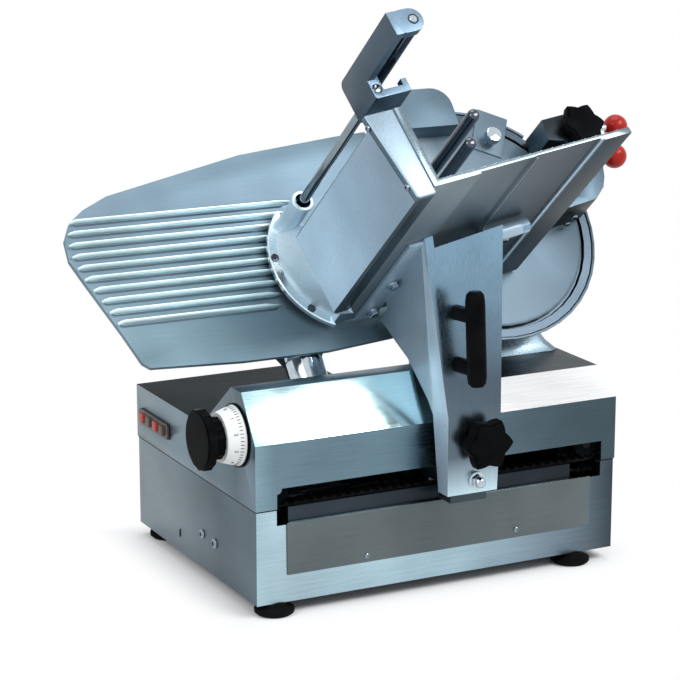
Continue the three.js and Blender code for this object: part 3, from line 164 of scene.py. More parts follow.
def addFloor():
    s = floorSettings
    deselect()
    bpy.ops.mesh.primitive_plane_add(size=s["size"])
    floor = bpy.context.object
    floor.name = "floor"
    material = bpy.data.materials.new("paleFloor")
    material.use_nodes = True
    tree = material.node_tree
    shader = tree.nodes["Principled BSDF"]
    shader.inputs["Base Color"].default_value = s["colour"]
    shader.inputs["Roughness"].default_value = s["rough"]
    shader.inputs["Specular IOR Level"].default_value = s["sheen"]
    coords = tree.nodes.new("ShaderNodeTexCoord")
    ratios = tree.nodes.new("ShaderNodeMapping")
    ratios.vector_type = "POINT"
    (middleX, middleY), (halfX, halfY) = s["middle"], s["half"]
    ratios.inputs["Scale"].default_value = (1 / halfX, 1 / halfY, 0)
    ratios.inputs["Location"].default_value = (-middleX / halfX, -middleY / halfY, 0)
    tree.links.new(coords.outputs["Object"], ratios.inputs["Vector"])
    sizes = tree.nodes.new("ShaderNodeVectorMath")
    sizes.operation = "ABSOLUTE"
    tree.links.new(ratios.outputs["Vector"], sizes.inputs[0])
    parts = tree.nodes.new("ShaderNodeSeparateXYZ")
    tree.links.new(sizes.outputs["Vector"], parts.inputs["Vector"])
    away = mathNode(tree, "MAXIMUM", parts.outputs["X"], parts.outputs["Y"])
    far = tree.nodes.new("ShaderNodeMapRange")
    far.interpolation_type = "SMOOTHSTEP"
    far.inputs["From Min"].default_value = s["shaded"]
    far.inputs["From Max"].default_value = s["white"]
    tree.links.new(away, far.inputs["Value"])
    white = tree.nodes.new("ShaderNodeEmission")
    white.inputs["Color"].default_value = (1, 1, 1, 1)
    white.inputs["Strength"].default_value = 1
    mix = tree.nodes.new("ShaderNodeMixShader")
    tree.links.new(far.outputs["Result"], mix.inputs["Fac"])
    tree.links.new(shader.outputs["BSDF"], mix.inputs[1])
    tree.links.new(white.outputs["Emission"], mix.inputs[2])
    tree.links.new(mix.outputs["Shader"], tree.nodes["Material Output"].inputs["Surface"])
    floor.data.materials.append(material)
    print("floor laid")


def deselect():
    if bpy.context.object and bpy.context.object.mode != "OBJECT":
        bpy.ops.object.mode_set(mode="OBJECT")
    bpy.ops.object.select_all(action="DESELECT")


# Finishes, most metal ones with painted light and shade in their colours
def newMaterial(name):
    material = bpy.data.materials.new(name)
    material.use_nodes = True
    tree = material.node_tree
    coords = tree.nodes.new("ShaderNodeTexCoord")
    return material, tree, tree.nodes["Principled BSDF"], coords.outputs["Object"]


def mapped(tree, vector, scale):
    node = tree.nodes.new("ShaderNodeMapping")
    node.vector_type = "POINT"
    node.inputs["Scale"].default_value = scale
    tree.links.new(vector, node.inputs["Vector"])
    return node.outputs["Vector"]


def noise(tree, vector, scale, detail):
    node = tree.nodes.new("ShaderNodeTexNoise")
    node.inputs["Scale"].default_value = scale
    node.inputs["Detail"].default_value = detail
    node.inputs["Roughness"].default_value = 0.6
    tree.links.new(vector, node.inputs["Vector"])
    return node.outputs["Fac"]


def spread(tree, value, low, high):
    # most of a noise lies between 0.3 and 0.7
    node = tree.nodes.new("ShaderNodeMapRange")
    node.inputs["From Min"].default_value = 0.3
    node.inputs["From Max"].default_value = 0.7
    node.inputs["To Min"].default_value = low
    node.inputs["To Max"].default_value = high
    tree.links.new(value, node.inputs["Value"])
    return node.outputs["Result"]


def blended(tree, value, first, second):
    node = tree.nodes.new("ShaderNodeMix")
    node.data_type = "RGBA"
    node.inputs["A"].default_value = (*first, 1)
    node.inputs["B"].default_value = (*second, 1)
    tree.links.new(value, node.inputs["Factor"])
    return node.outputs["Result"]


bumpDepth = 0.3 * millimetre


def bumped(tree, shader, value, strength):
    node = tree.nodes.new("ShaderNodeBump")
    node.inputs["Strength"].default_value = strength
    node.inputs["Distance"].default_value = bumpDepth
    tree.links.new(value, node.inputs["Height"])
    tree.links.new(node.outputs["Normal"], shader.inputs["Normal"])


def ramped(tree, coords, direction, low, high, stops, repeat):
    # a colour that runs through its stops along a direction, once or again and again, painting light and shade
    # across a piece
    dot = tree.nodes.new("ShaderNodeVectorMath")
    dot.operation = "DOT_PRODUCT"
    dot.inputs[1].default_value = direction
    tree.links.new(coords, dot.inputs[0])
    share = tree.nodes.new("ShaderNodeMapRange")
    share.inputs["From Min"].default_value = low
    share.inputs["From Max"].default_value = high
    tree.links.new(dot.outputs["Value"], share.inputs["Value"])
    part = share.outputs["Result"]
    if repeat:
        share.clamp = False
        part = mathNode(tree, "FRACT", part)
    ramp = tree.nodes.new("ShaderNodeValToRGB")
    colours = ramp.color_ramp.elements
    while len(colours) < len(stops):
        colours.new(0.5)
    for element, (place, colour) in zip(colours, stops):
        element.position = place
        element.color = (*colour, 1)
    tree.links.new(part, ramp.inputs["Fac"])
    return ramp.outputs["Color"]


# Directions that a painted light and shade tone can run along, the last three measured from the blade's centre
along = {
    "x": (1, 0, 0), "y": (0, 1, 0), "z": (0, 0, 1),
    "t": tuple(trayAcross), "u": tuple(towardsFood), "n": tuple(upSlope),
}
fromBlade = "tun"

# Brush marks, drawn out along the piece
lengthGrain = (3, 240, 240)
heightGrain = (240, 240, 3)
depthGrain = (240, 3, 240)
evenGrain = (70, 70, 70)

# Spans in metres that a painted light and shade tone runs over
baseLength = (-0.258, 0.242)
baseDepth = (-0.11, 0.25)
armHeight = (0.13, 0.45)
trayWidth = (-0.266, 0.018)
plateLength = (-0.4, -0.12)
upperHeight = (0.3, 0.73)

metalSettings = {
    "grainScale": 6, "grainDark": 0.88, "cloudScale": 7, "cloudDark": 0.80,
    "light": 1.1, "bump": 0.06,
}
# Most of these tones are painted light and shade: lit and shaded copies of one metal, run along an axis, laid over
# real brush grain
brushedAndPaintedLightSettings = {
    # painted light and shade: the cover's front runs from lit to shaded along the base
    "coverFront": {
        "along": "x", "span": baseLength, "grain": lengthGrain, "rough": (0.22, 0.36),
        "stops": [(0, (0.25, 0.38, 0.46)), (0.05, (0.175, 0.27, 0.335)), (0.5, (0.15, 0.245, 0.31)),
                  (0.7, (0.10, 0.155, 0.19)), (1, (0.06, 0.09, 0.11))],
    },
    # painted reflection: the slope is the white of the lamps, with a painted dark band where the arm's shadow
    # falls
    "coverSlope": {
        "along": "x", "span": baseLength, "grain": lengthGrain, "rough": (0.12, 0.24),
        "stops": [(0, (0.50, 0.78, 0.86)), (0.1, (0.72, 0.97, 1.0)), (0.42, (0.70, 0.96, 1.0)),
                  (0.56, (0.30, 0.40, 0.47)), (0.6, (0.97, 0.98, 1.0))],
    },
    # painted light and shade: the top runs dark, lit, then shaded along the base
    "coverTop": {
        "rim": 0.6, "along": "x", "span": baseLength, "grain": lengthGrain, "rough": (0.22, 0.36),
        "stops": [(0, (0.07, 0.11, 0.145)), (0.2, (0.36, 0.52, 0.60)), (0.5, (0.28, 0.38, 0.46)),
                  (0.62, (0.045, 0.07, 0.088)), (1, (0.04, 0.065, 0.08))],
    },
    # painted shade: the deck is darkened as shade
    "coverDeck": {
        "rim": 0.35, "along": "y", "span": (0.04, 0.26), "grain": lengthGrain, "rough": (0.24, 0.40),
        "stops": [(0, (0.06, 0.075, 0.085)), (1, (0.05, 0.062, 0.07))],
    },
    # painted light and shade across the cover's end
    "coverEnd": {
        "along": "y", "span": baseDepth, "grain": depthGrain, "rough": (0.26, 0.42),
        "stops": [(0, (0.16, 0.22, 0.27)), (0.15, (0.10, 0.14, 0.17)), (0.5, (0.15, 0.22, 0.27)),
                  (1, (0.17, 0.24, 0.28))],
    },
    # painted light and shade: the body's front runs from lit to shaded along the base
    "bodyFront": {
        "along": "x", "span": baseLength, "grain": lengthGrain, "rough": (0.22, 0.36),
        "stops": [(0, (0.42, 0.60, 0.68)), (0.06, (0.46, 0.63, 0.72)), (0.45, (0.42, 0.59, 0.68)),
                  (0.75, (0.24, 0.33, 0.40)), (1, (0.045, 0.062, 0.077))],
    },
    # painted light and shade across the body's end
    "bodyEnd": {
        "along": "y", "span": baseDepth, "grain": depthGrain, "rough": (0.26, 0.42),
        "stops": [(0, (0.13, 0.17, 0.20)), (0.3, (0.09, 0.12, 0.145)), (1, (0.17, 0.24, 0.28))],
    },
    # painted shade: the steel darkened for the faces that no other tone takes
    "steelPaintedShade": {
        "along": "x", "span": (-0.3, 0.3), "grain": lengthGrain, "rough": (0.28, 0.44),
        "stops": [(0, (0.10, 0.135, 0.16)), (1, (0.07, 0.095, 0.115))],
    },
    # painted shade inside the slot, on the faces behind its front
    "slotGuide": {
        "along": "x", "span": baseLength, "grain": lengthGrain, "rough": (0.35, 0.5),
        "stops": [(0, (0.045, 0.06, 0.075)), (1, (0.02, 0.025, 0.03))],
    },
    "slotSheet": {
        "along": "x", "span": (-0.217, 0.207), "grain": lengthGrain, "rough": (0.26, 0.40),
        "stops": [(0, (0.145, 0.175, 0.185)), (0.5, (0.115, 0.14, 0.15)), (1, (0.13, 0.155, 0.165))],
    },
    # painted light and shade: a lit foot, a painted dark middle where the handle's shadow falls, and a lit top
    "armFront": {
        "along": "z", "span": armHeight, "grain": heightGrain, "rough": (0.20, 0.34),
        "stops": [(0, (0.60, 0.80, 0.90)), (0.16, (0.13, 0.18, 0.22)), (0.45, (0.10, 0.14, 0.18)),
                  (0.75, (0.20, 0.32, 0.43)), (1, (0.21, 0.35, 0.47))],
    },
    # painted light and shade up the arm's side
    "armSide": {
        "metal": 0.35, "along": "z", "span": armHeight, "grain": evenGrain, "rough": (0.34, 0.46),
        "stops": [(0, (0.30, 0.40, 0.50)), (0.35, (0.42, 0.56, 0.68)), (0.6, (0.28, 0.38, 0.47)),
                  (1, (0.34, 0.47, 0.58))],
    },
    # painted highlight along bevels and edges
    "edgePaintedHighlight": {
        "along": "z", "span": (0, 0.73), "grain": evenGrain, "rough": (0.14, 0.24),
        "stops": [(0, (0.70, 0.84, 0.92)), (1, (0.80, 0.92, 0.98))],
    },
    # painted light and shade down the gauge plate's face
    "plateFace": {
        "along": "n", "span": (-0.153, 0.15), "grain": lengthGrain, "rough": (0.44, 0.56),
        "stops": [(0, (0.155, 0.23, 0.275)), (0.3, (0.17, 0.25, 0.30)), (0.7, (0.155, 0.22, 0.275)),
                  (1, (0.13, 0.195, 0.24))],
    },
    # painted highlight on ridge faces turned up the slope, painted shade on those turned down
    "ridgePaintedHighlight": {
        "along": "x", "span": plateLength, "grain": lengthGrain, "rough": (0.18, 0.30),
        "stops": [(0, (0.78, 0.90, 0.96)), (1, (0.46, 0.60, 0.69))],
    },
    "ridgePaintedShade": {
        "along": "x", "span": plateLength, "grain": lengthGrain, "rough": (0.28, 0.42),
        "stops": [(0, (0.13, 0.19, 0.23)), (1, (0.08, 0.12, 0.15))],
    },
    # painted shade under the tray, lit at the left and shaded to the right
    "trayUnder": {
        "along": "t", "span": trayWidth, "grain": lengthGrain, "rough": (0.42, 0.54),
        "stops": [(0, (0.30, 0.36, 0.40)), (0.4, (0.10, 0.14, 0.17)), (1, (0.045, 0.06, 0.072))],
    },
    # painted light and shade along the tray's end faces
    "trayEndFace": {
        "along": "t", "span": trayWidth, "grain": lengthGrain, "rough": (0.16, 0.28),
        "stops": [(0, (0.24, 0.32, 0.37)), (0.6, (0.34, 0.42, 0.46)), (1, (0.20, 0.25, 0.28))],
    },
    "trayInside": {
        "metal": 0.35, "along": "t", "span": trayWidth, "grain": lengthGrain, "rough": (0.24, 0.38),
        "stops": [(0, (0.42, 0.56, 0.66)), (1, (0.42, 0.56, 0.64))],
    },
    # painted light and shade along the housing's side, light to dark
    "housingSide": {
        "metal": 0.35, "along": "u", "span": (0.055, 0.343), "grain": evenGrain, "rough": (0.34, 0.46),
        "stops": [(0, (0.60, 0.80, 0.96)), (0.5, (0.36, 0.50, 0.63)), (1, (0.23, 0.33, 0.42))],
    },
    # painted light: the lit copy of the cast metal, for faces turned to the lamps
    "castPaintedLight": {
        "along": "z", "span": upperHeight, "grain": evenGrain, "rough": (0.38, 0.5),
        "stops": [(0, (0.20, 0.28, 0.34)), (1, (0.17, 0.25, 0.33))],
    },
    "castMiddle": {
        "along": "z", "span": (0.2, 0.73), "grain": evenGrain, "rough": (0.38, 0.5),
        "stops": [(0, (0.14, 0.20, 0.25)), (1, (0.12, 0.18, 0.235))],
    },
    # painted shade: the shaded copy of the cast metal, for faces turned away, bores and hidden sides
    "castPaintedShade": {
        "along": "z", "span": (0.2, 0.73), "grain": evenGrain, "rough": (0.30, 0.46),
        "stops": [(0, (0.055, 0.075, 0.09)), (1, (0.085, 0.12, 0.155))],
    },
    # painted light and shade across the disc, lit at the left and shaded to the right
    "discFace": {
        "metal": 0.5, "along": "x", "span": (-0.02, 0.32), "grain": evenGrain, "rough": (0.42, 0.52),
        "stops": [(0, (0.62, 0.76, 0.82)), (0.22, (0.66, 0.80, 0.86)), (0.45, (0.13, 0.19, 0.24)),
                  (0.8, (0.095, 0.145, 0.19)), (1, (0.05, 0.08, 0.105))],
    },
    "bladeSteel": {
        "along": "n", "span": (-0.19, 0.13), "grain": evenGrain, "rough": (0.3, 0.4),
        "stops": [(0, (0.08, 0.11, 0.14)), (1, (0.055, 0.075, 0.095))],
    },
    "guardFace": {
        "along": "z", "span": upperHeight, "grain": evenGrain, "rough": (0.38, 0.5),
        "stops": [(0, (0.11, 0.16, 0.20)), (1, (0.09, 0.135, 0.175))],
    },
    # painted shade on the sharpener's downward faces
    "sharpenerPaintedShade": {
        "along": "z", "span": upperHeight, "grain": evenGrain, "rough": (0.38, 0.5),
        "stops": [(0, (0.02, 0.026, 0.03)), (1, (0.03, 0.04, 0.048))],
    },
    # painted shadow: the sharpener's front darkens upwards where the knob's shadow falls
    "sharpenerTop": {
        "along": "z", "span": (0.42, 0.56), "grain": evenGrain, "rough": (0.38, 0.5),
        "stops": [(0, (0.11, 0.16, 0.20)), (0.4, (0.09, 0.13, 0.165)), (0.65, (0.02, 0.026, 0.03)),
                  (1, (0.015, 0.02, 0.024))],
    },
    "socketLight": {
        "metal": 0.5, "along": "u", "span": (0, 0.09), "grain": evenGrain, "rough": (0.36, 0.48),
        "stops": [(0, (0.62, 0.76, 0.84)), (0.6, (0.46, 0.62, 0.74)), (1, (0.55, 0.70, 0.80))],
    },
    # painted highlight and shade on every corrugation: a bright crest between dark valleys, repeated each pitch
    "ridges": {
        "along": "n", "span": (0.0471, 0.0627), "repeat": True, "grain": lengthGrain, "rough": (0.36, 0.5),
        "stops": [(0, (0.095, 0.145, 0.17)), (0.14, (0.11, 0.165, 0.195)), (0.30, (0.80, 0.97, 1.0)),
                  (0.62, (0.80, 0.97, 1.0)), (0.80, (0.11, 0.165, 0.195)), (1, (0.095, 0.145, 0.17))],
    },
    # painted highlight: the brightest copy of the cast metal
    "castPaintedHighlight": {
        "metal": 0.5, "along": "z", "span": upperHeight, "grain": evenGrain, "rough": (0.34, 0.46),
        "stops": [(0, (0.42, 0.55, 0.66)), (1, (0.34, 0.46, 0.56))],
    },
    # painted highlight: a lit band across the column between shaded sides
    "columnFace": {
        "along": "x", "span": (0.09, 0.25), "grain": evenGrain, "rough": (0.24, 0.38),
        "stops": [(0, (0.16, 0.24, 0.30)), (0.6, (0.42, 0.56, 0.66)), (1, (0.12, 0.17, 0.21))],
    },
}


# real brush grain and cloudy tone, over stops that paint light and shade
def brushedMetal(name):
    s = brushedAndPaintedLightSettings[name]
    material, tree, shader, coords = newMaterial(name)
    m = metalSettings
    grain = noise(tree, mapped(tree, coords, s["grain"]), m["grainScale"], 5)
    clouds = noise(tree, coords, m["cloudScale"], 2)
    direction = along[s["along"]]
    start = bladeCentre.dot(Vector(direction)) if s["along"] in fromBlade else 0
    low, high = (start + distance for distance in s["span"])
    colour = ramped(tree, coords, direction, low, high, s["stops"], s.get("repeat", False))
    light = [m["light"]] * 3
    for value, dark in ((grain, m["grainDark"]), (clouds, m["cloudDark"])):
        shade = tree.nodes.new("ShaderNodeMix")
        shade.data_type = "RGBA"
        shade.blend_type = "MULTIPLY"
        shade.inputs["Factor"].default_value = 1
        tree.links.new(colour, shade.inputs["A"])
        tree.links.new(blended(tree, spread(tree, value, 0, 1), [dark] * 3, light), shade.inputs["B"])
        colour = shade.outputs["Result"]
    tree.links.new(colour, shader.inputs["Base Color"])
    tree.links.new(spread(tree, grain, *s["rough"]), shader.inputs["Roughness"])
    shader.inputs["Metallic"].default_value = s.get("metal", 1)
    shader.inputs["Specular Tint"].default_value = [s.get("rim", 1)] * 3 + [1]
    bumped(tree, shader, grain, m["bump"])
    return material


polishedHaze = {"scale": 60, "dark": 0.85}
polishedSettings = {
    "brightChrome": {"colour": (0.55, 0.63, 0.70), "rough": (0.05, 0.12)},
    # rodChrome is chrome darkened as painted shade, for the rod and the screws
    "rodChrome": {"colour": (0.26, 0.31, 0.35), "rough": (0.08, 0.16)},
    "darkChrome": {"colour": (0.10, 0.115, 0.14), "rough": (0.06, 0.14)},
}


def polishedMetal(name):
    s = polishedSettings[name]
    material, tree, shader, coords = newMaterial(name)
    haze = noise(tree, coords, polishedHaze["scale"], 3)
    dark = tuple(polishedHaze["dark"] * c for c in s["colour"])
    colour = blended(tree, spread(tree, haze, 0, 1), dark, s["colour"])
    tree.links.new(colour, shader.inputs["Base Color"])
    tree.links.new(spread(tree, haze, *s["rough"]), shader.inputs["Roughness"])
    shader.inputs["Metallic"].default_value = 1
    return material


mouldedCloudScale = 25
mouldedSettings = {
    "blackPlastic": {
        "light": (0.006, 0.007, 0.007), "dark": (0.003, 0.003, 0.004),
        "grain": 900, "rough": (0.24, 0.34), "bump": 0.08, "sheen": 0.008,
    },
    "blackEnamel": {
        "light": (0.010, 0.011, 0.012), "dark": (0.006, 0.006, 0.007),
        "grain": 300, "rough": (0.30, 0.40), "bump": 0.05, "sheen": 0.1,
    },
    "blackRubber": {
        "light": (0.010, 0.010, 0.011), "dark": (0.005, 0.005, 0.005),
        "grain": 700, "rough": (0.50, 0.70), "bump": 0.20, "sheen": 0.015,
    },
    "keyRed": {
        "light": (0.42, 0.07, 0.06), "dark": (0.30, 0.04, 0.035),
        "grain": 60, "rough": (0.3, 0.4), "bump": 0.03, "sheen": 0.2,
    },
    "keyBrown": {
        "light": (0.11, 0.085, 0.07), "dark": (0.075, 0.055, 0.045),
        "grain": 60, "rough": (0.3, 0.4), "bump": 0.03, "sheen": 0.2,
    },
    "bezelBrown": {
        "light": (0.085, 0.075, 0.068), "dark": (0.06, 0.052, 0.046),
        "grain": 60, "rough": (0.3, 0.4), "bump": 0.03, "sheen": 0.2,
    },
    "redPlastic": {
        "light": (0.42, 0.018, 0.010), "dark": (0.30, 0.011, 0.006),
        "grain": 40, "rough": (0.14, 0.22), "bump": 0.02, "sheen": 0.2,
    },
    "whitePlastic": {
        "light": (0.86, 0.88, 0.88), "dark": (0.76, 0.79, 0.80),
        "grain": 60, "rough": (0.30, 0.42), "bump": 0.03,
    },
    "switchPlastic": {
        "light": (0.15, 0.12, 0.11), "dark": (0.09, 0.07, 0.065),
        "grain": 500, "rough": (0.30, 0.45), "bump": 0.08,
    },
    "abrasiveStone": {
        "light": (0.42, 0.41, 0.38), "dark": (0.20, 0.19, 0.18),
        "grain": 1500, "rough": (0.80, 0.95), "bump": 0.60,
    },
}


def mouldedPlastic(name):
    s = mouldedSettings[name]
    material, tree, shader, coords = newMaterial(name)
    grain = noise(tree, coords, s["grain"], 3)
    clouds = noise(tree, coords, mouldedCloudScale, 2)
    colour = blended(tree, spread(tree, clouds, 0, 1), s["dark"], s["light"])
    tree.links.new(colour, shader.inputs["Base Color"])
    tree.links.new(spread(tree, grain, *s["rough"]), shader.inputs["Roughness"])
    shader.inputs["Specular IOR Level"].default_value = s.get("sheen", 0.3)
    bumped(tree, shader, grain, s["bump"])
    return material


finishes = {name: brushedMetal(name) for name in brushedAndPaintedLightSettings}
finishes.update({name: polishedMetal(name) for name in polishedSettings})
finishes.update({name: mouldedPlastic(name) for name in mouldedSettings})
print("finishes made:", len(finishes))


# Copies of the frame's plain solids, with their edges eased
def activate(piece):
    deselect()
    piece.select_set(True)
    bpy.context.view_layer.objects.active = piece


def addModifier(piece, kind, **values):
    modifier = piece.modifiers.new(kind.title(), kind)
    for key, value in values.items():
        setattr(modifier, key, value)
    activate(piece)
    bpy.ops.object.modifier_apply(modifier=modifier.name)


plateSettings = {"corner": 14, "thinnest": 5, "bends": 4}  # the plate's own edges are thicker than thinnest


def roundedPlate(piece):
    # the corners of the gauge plate's outline, bevelled into curves
    s = plateSettings
    bpy.ops.object.mode_set(mode="EDIT")
    bpy.ops.mesh.select_mode(type="EDGE")
    bpy.ops.mesh.select_all(action="DESELECT")
    mesh = bmesh.from_edit_mesh(piece.data)
    for edge in mesh.edges:
        run = edge.verts[1].co - edge.verts[0].co
        thick = run.length > s["thinnest"] * millimetre
        edge.select_set(thick and abs(run.normalized().dot(towardsFood)) > 0.99)
    bmesh.update_edit_mesh(piece.data)
    bpy.ops.mesh.bevel(offset=s["corner"] * millimetre, segments=s["bends"], affect="EDGES",
                       clamp_overlap=True)
    bpy.ops.object.mode_set(mode="OBJECT")


easingSettings = {"weld": 0.02, "flat": 0.5, "angle": 32, "segments": 2}  # millimetres, then degrees


def smoothed(piece, angle):
    activate(piece)
    bpy.ops.object.shade_smooth_by_angle(angle=math.radians(angle))


def eased(name, node, width, rounds=0, edge=-1):
    # a merged copy of a node, its edges bevelled by width in millimetres
    s = easingSettings
    piece = bpy.data.objects.new(name, frame["nodes"][node].data.copy())
    bpy.context.scene.collection.objects.link(piece)
    activate(piece)
    bpy.ops.object.mode_set(mode="EDIT")
    bpy.ops.mesh.select_all(action="SELECT")
    bpy.ops.mesh.remove_doubles(threshold=s["weld"] * millimetre)
    bpy.ops.mesh.dissolve_limited(angle_limit=math.radians(s["flat"]))
    bpy.ops.object.mode_set(mode="OBJECT")
    if node == "gauge_plate":
        roundedPlate(piece)
    if width:
        addModifier(piece, "BEVEL", width=width * millimetre, segments=s["segments"], limit_method="ANGLE",
                    angle_limit=math.radians(s["angle"]), use_clamp_overlap=True, material=edge)
    if rounds:
        addModifier(piece, "SUBSURF", levels=rounds)
    smoothed(piece, s["angle"])
    return piece


def settle(piece, material, body, slot, *nodes):
    piece.data.materials.clear()
    piece.data.materials.append(finishes[material])
    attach(piece, body)
    if nodes:
        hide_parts(*nodes)
    return piece


def paint(piece, rules):
    # the first rule that a face meets gives its finish, and a face that meets none keeps the piece's own; the
    # rules mostly pick lit or shaded tones by the way a face points, as painted light and shade
    for finish, _ in rules:
        piece.data.materials.append(finishes[finish])
    for face in piece.data.polygons:
        for index, (_, test) in enumerate(rules):
            if test(face.normal, face.center):
                face.material_index = index + 1
                break


bodyOf = {node: body for body, nodes in frame["record"]["behaviour"]["bodies"].items() for node in nodes}
slotOf = {entry["node"]: entry["material_slot"] for entry in frame["record"]["subparts"]}
# body steel takes the steel tone darkened as painted shade
finishOf = {
    "body_steel": "steelPaintedShade", "blade_steel": "bladeSteel", "cast_aluminium": "castMiddle",
    "slot_sheet": "slotSheet", "chrome": "brightChrome", "dark_chrome": "darkChrome",
    "black_plastic": "blackPlastic", "motor_paint": "blackEnamel", "rubber": "blackRubber",
    "red_plastic": "redPlastic", "white_plastic": "whitePlastic", "switch_plastic": "switchPlastic",
    "abrasive": "abrasiveStone",
}

for node, cad in frame["nodes"].items():
    cad.data.materials.clear()
    cad.data.materials.append(finishes[finishOf[slotOf[node]]])
print("nodes given finishes:", len(frame["nodes"]))

# Each node's copy: its name, its finish and the width of its bevels
easedSettings = {
    "top_cover": ("topCoverShell", "steelPaintedShade", 1.6),
    "lower_body": ("lowerBodyShell", "steelPaintedShade", 1.2),
    "slot_cover_plate": ("slotPlateSheet", "slotSheet", 0.3),
    "carriage_arm": ("armShell", "armSide", 3),
    "product_tray": ("trayExtrusion", "trayInside", 0.5),
    "pusher_bracket": ("pusherCasting", "castMiddle", 1.2),
    "press_plate": ("pressPlateCasting", "castMiddle", 0.8),
    "gauge_plate": ("gaugePlateCasting", "plateFace", 0.6),
    "gauge_arm": ("gaugeArmCasting", "brightChrome", 1.0),
    "blade": ("bladeDisc", "bladeSteel", 0),
    "blade_cover": ("bladeCoverDisc", "discFace", 0.5),
    "blade_cover_knob": ("coverKnobKnurled", "brightChrome", 0.5),
    "ring_guard": ("ringGuardCasting", "discFace", 0.6),
    "top_guard": ("topGuardCasting", "guardFace", 1.6),
    "blade_column": ("bladeColumnCasting", "columnFace", 3.0),
    "sharpener_body": ("sharpenerCasting", "guardFace", 0.8),
    "switch_bezel": ("switchBezelFrame", "bezelBrown", 0.8),
    "blade_stop_button": ("bladeStopKey", "keyRed", 0.5),
    "feed_stop_button": ("feedStopKey", "keyRed", 0.5),
    "blade_start_button": ("bladeStartKey", "keyBrown", 0.5),
    "feed_start_button": ("feedStartKey", "keyBrown", 0.5),
    # the slider block takes the painted shade tone of the cast metal
    "slider_block": ("sliderBlockCasting", "castPaintedShade", 0.6),
    "arm_handle": ("armHandleGrip", "blackPlastic", 0),
}
# the bevels of the arm and the lower body take a painted highlight
paintedHighlightBevels = ("carriage_arm", "lower_body")  # these bevels take the first finish of the paint rules
shells = {}
for node, (name, finish, width) in easedSettings.items():
    shell = eased(name, node, width, edge=1 if node in paintedHighlightBevels else -1)
    shells[node] = settle(shell, finish, bodyOf[node], slotOf[node], node)
print("eased copies made:", len(easedSettings))

# Faces take painted light and shade: lit or shaded tones by the way they point
deckTop = onBase(0, 0, 215).z
guideFoot, guideFront, guideHalf = onBase(0, 0, 107).z, onBase(0, 3.5, 0).y, 0.24  # the slot's guide
paint(shells["top_cover"], [
    ("coverSlope", lambda n, c: n.y < -0.25 and n.z > 0.25),
    ("coverFront", lambda n, c: n.y < -0.7),
    ("coverDeck", lambda n, c: n.z > 0.7 and c.z < deckTop),
    ("coverTop", lambda n, c: n.z > 0.5),
    ("coverEnd", lambda n, c: abs(n.x) > 0.7),
])
paint(shells["lower_body"], [
    ("edgePaintedHighlight", lambda n, c: False),  # for the bevels alone
    ("slotGuide", lambda n, c: c.z > guideFoot and c.y > guideFront and abs(c.x) < guideHalf),
    ("bodyFront", lambda n, c: n.y < -0.7),
    ("bodyEnd", lambda n, c: n.x < -0.7),
])
paint(shells["carriage_arm"], [
    ("edgePaintedHighlight", lambda n, c: False),  # for the bevels alone
    ("armFront", lambda n, c: n.y < -0.9),
    ("castPaintedShade", lambda n, c: n.x > 0.7),
])
paint(shells["product_tray"], [
    ("trayEndFace", lambda n, c: n.dot(towardsFood) > 0.8),
    ("trayUnder", lambda n, c: n.dot(trayAway) < -0.5),
    ("housingSide", lambda n, c: n.dot(trayAcross) < -0.5),
])
paint(shells["pusher_bracket"], [
    ("castPaintedLight", lambda n, c: n.dot(towardsFood) > 0.6),
    ("castPaintedShade", lambda n, c: n.dot(trayAcross) < -0.4),
])
paint(shells["gauge_plate"], [
    ("ridgePaintedHighlight", lambda n, c: n.dot(upSlope) > 0.15 and n.dot(towardsFood) > 0.3),
    ("ridgePaintedShade", lambda n, c: n.dot(upSlope) < -0.15 and n.dot(towardsFood) > 0.3),
    ("castPaintedShade", lambda n, c: n.dot(towardsFood) < -0.3),
])
paint(shells["sharpener_body"], [
    ("sharpenerPaintedShade", lambda n, c: n.dot(upSlope) < -0.5),
    ("sharpenerTop", lambda n, c: n.dot(towardsFood) > 0.6),
])
# painted highlight on the slot plate's upper faces
paint(shells["slot_cover_plate"], [("edgePaintedHighlight", lambda n, c: n.z > 0.7)])
print("faces toned")


# Round pieces, built up along their axis from a cylinder
def selectEnd(piece, axis):
    bpy.ops.mesh.select_mode(type="FACE")
    mesh = bmesh.from_edit_mesh(piece.data)
    best = max(mesh.faces, key=lambda face: face.calc_center_median().dot(axis) + face.normal.dot(axis))
    for face in mesh.faces:
        face.select_set(face is best)
    bmesh.update_edit_mesh(piece.data)


def turned(name, place, axis, profile, sides=48, smooth=35):
    # profile lists radius and height pairs in millimetres, from the seat outwards
    (first, low), (second, high) = profile[:2]
    deselect()
    bpy.ops.mesh.primitive_cylinder_add(
        vertices=sides, radius=first * millimetre, depth=(high - low) * millimetre,
        location=place + axis * (low + high) / 2 * millimetre, rotation=axis.to_track_quat("Z", "Y").to_euler())
    piece = bpy.context.object
    piece.name = name
    bpy.ops.object.transform_apply(location=True, rotation=True, scale=True)
    bpy.ops.object.mode_set(mode="EDIT")
    bpy.ops.mesh.select_all(action="DESELECT")
    selectEnd(piece, axis)
    if second != first:
        bpy.ops.transform.resize(value=(second / first,) * 3)
    for (r0, h0), (r1, h1) in zip(profile[1:], profile[2:]):
        bpy.ops.mesh.extrude_region_move(TRANSFORM_OT_translate={"value": axis * (h1 - h0) * millimetre})
        if r1 != r0:
            bpy.ops.transform.resize(value=(r1 / r0,) * 3)
    bpy.ops.mesh.select_all(action="SELECT")
    bpy.ops.mesh.normals_make_consistent(inside=False)
    bpy.ops.object.mode_set(mode="OBJECT")
    smoothed(piece, smooth)
    return piece


def merged(name, pieces):
    activate(pieces[0])
    for piece in pieces:
        piece.select_set(True)
    bpy.ops.object.join()
    pieces[0].name = name
    return pieces[0]


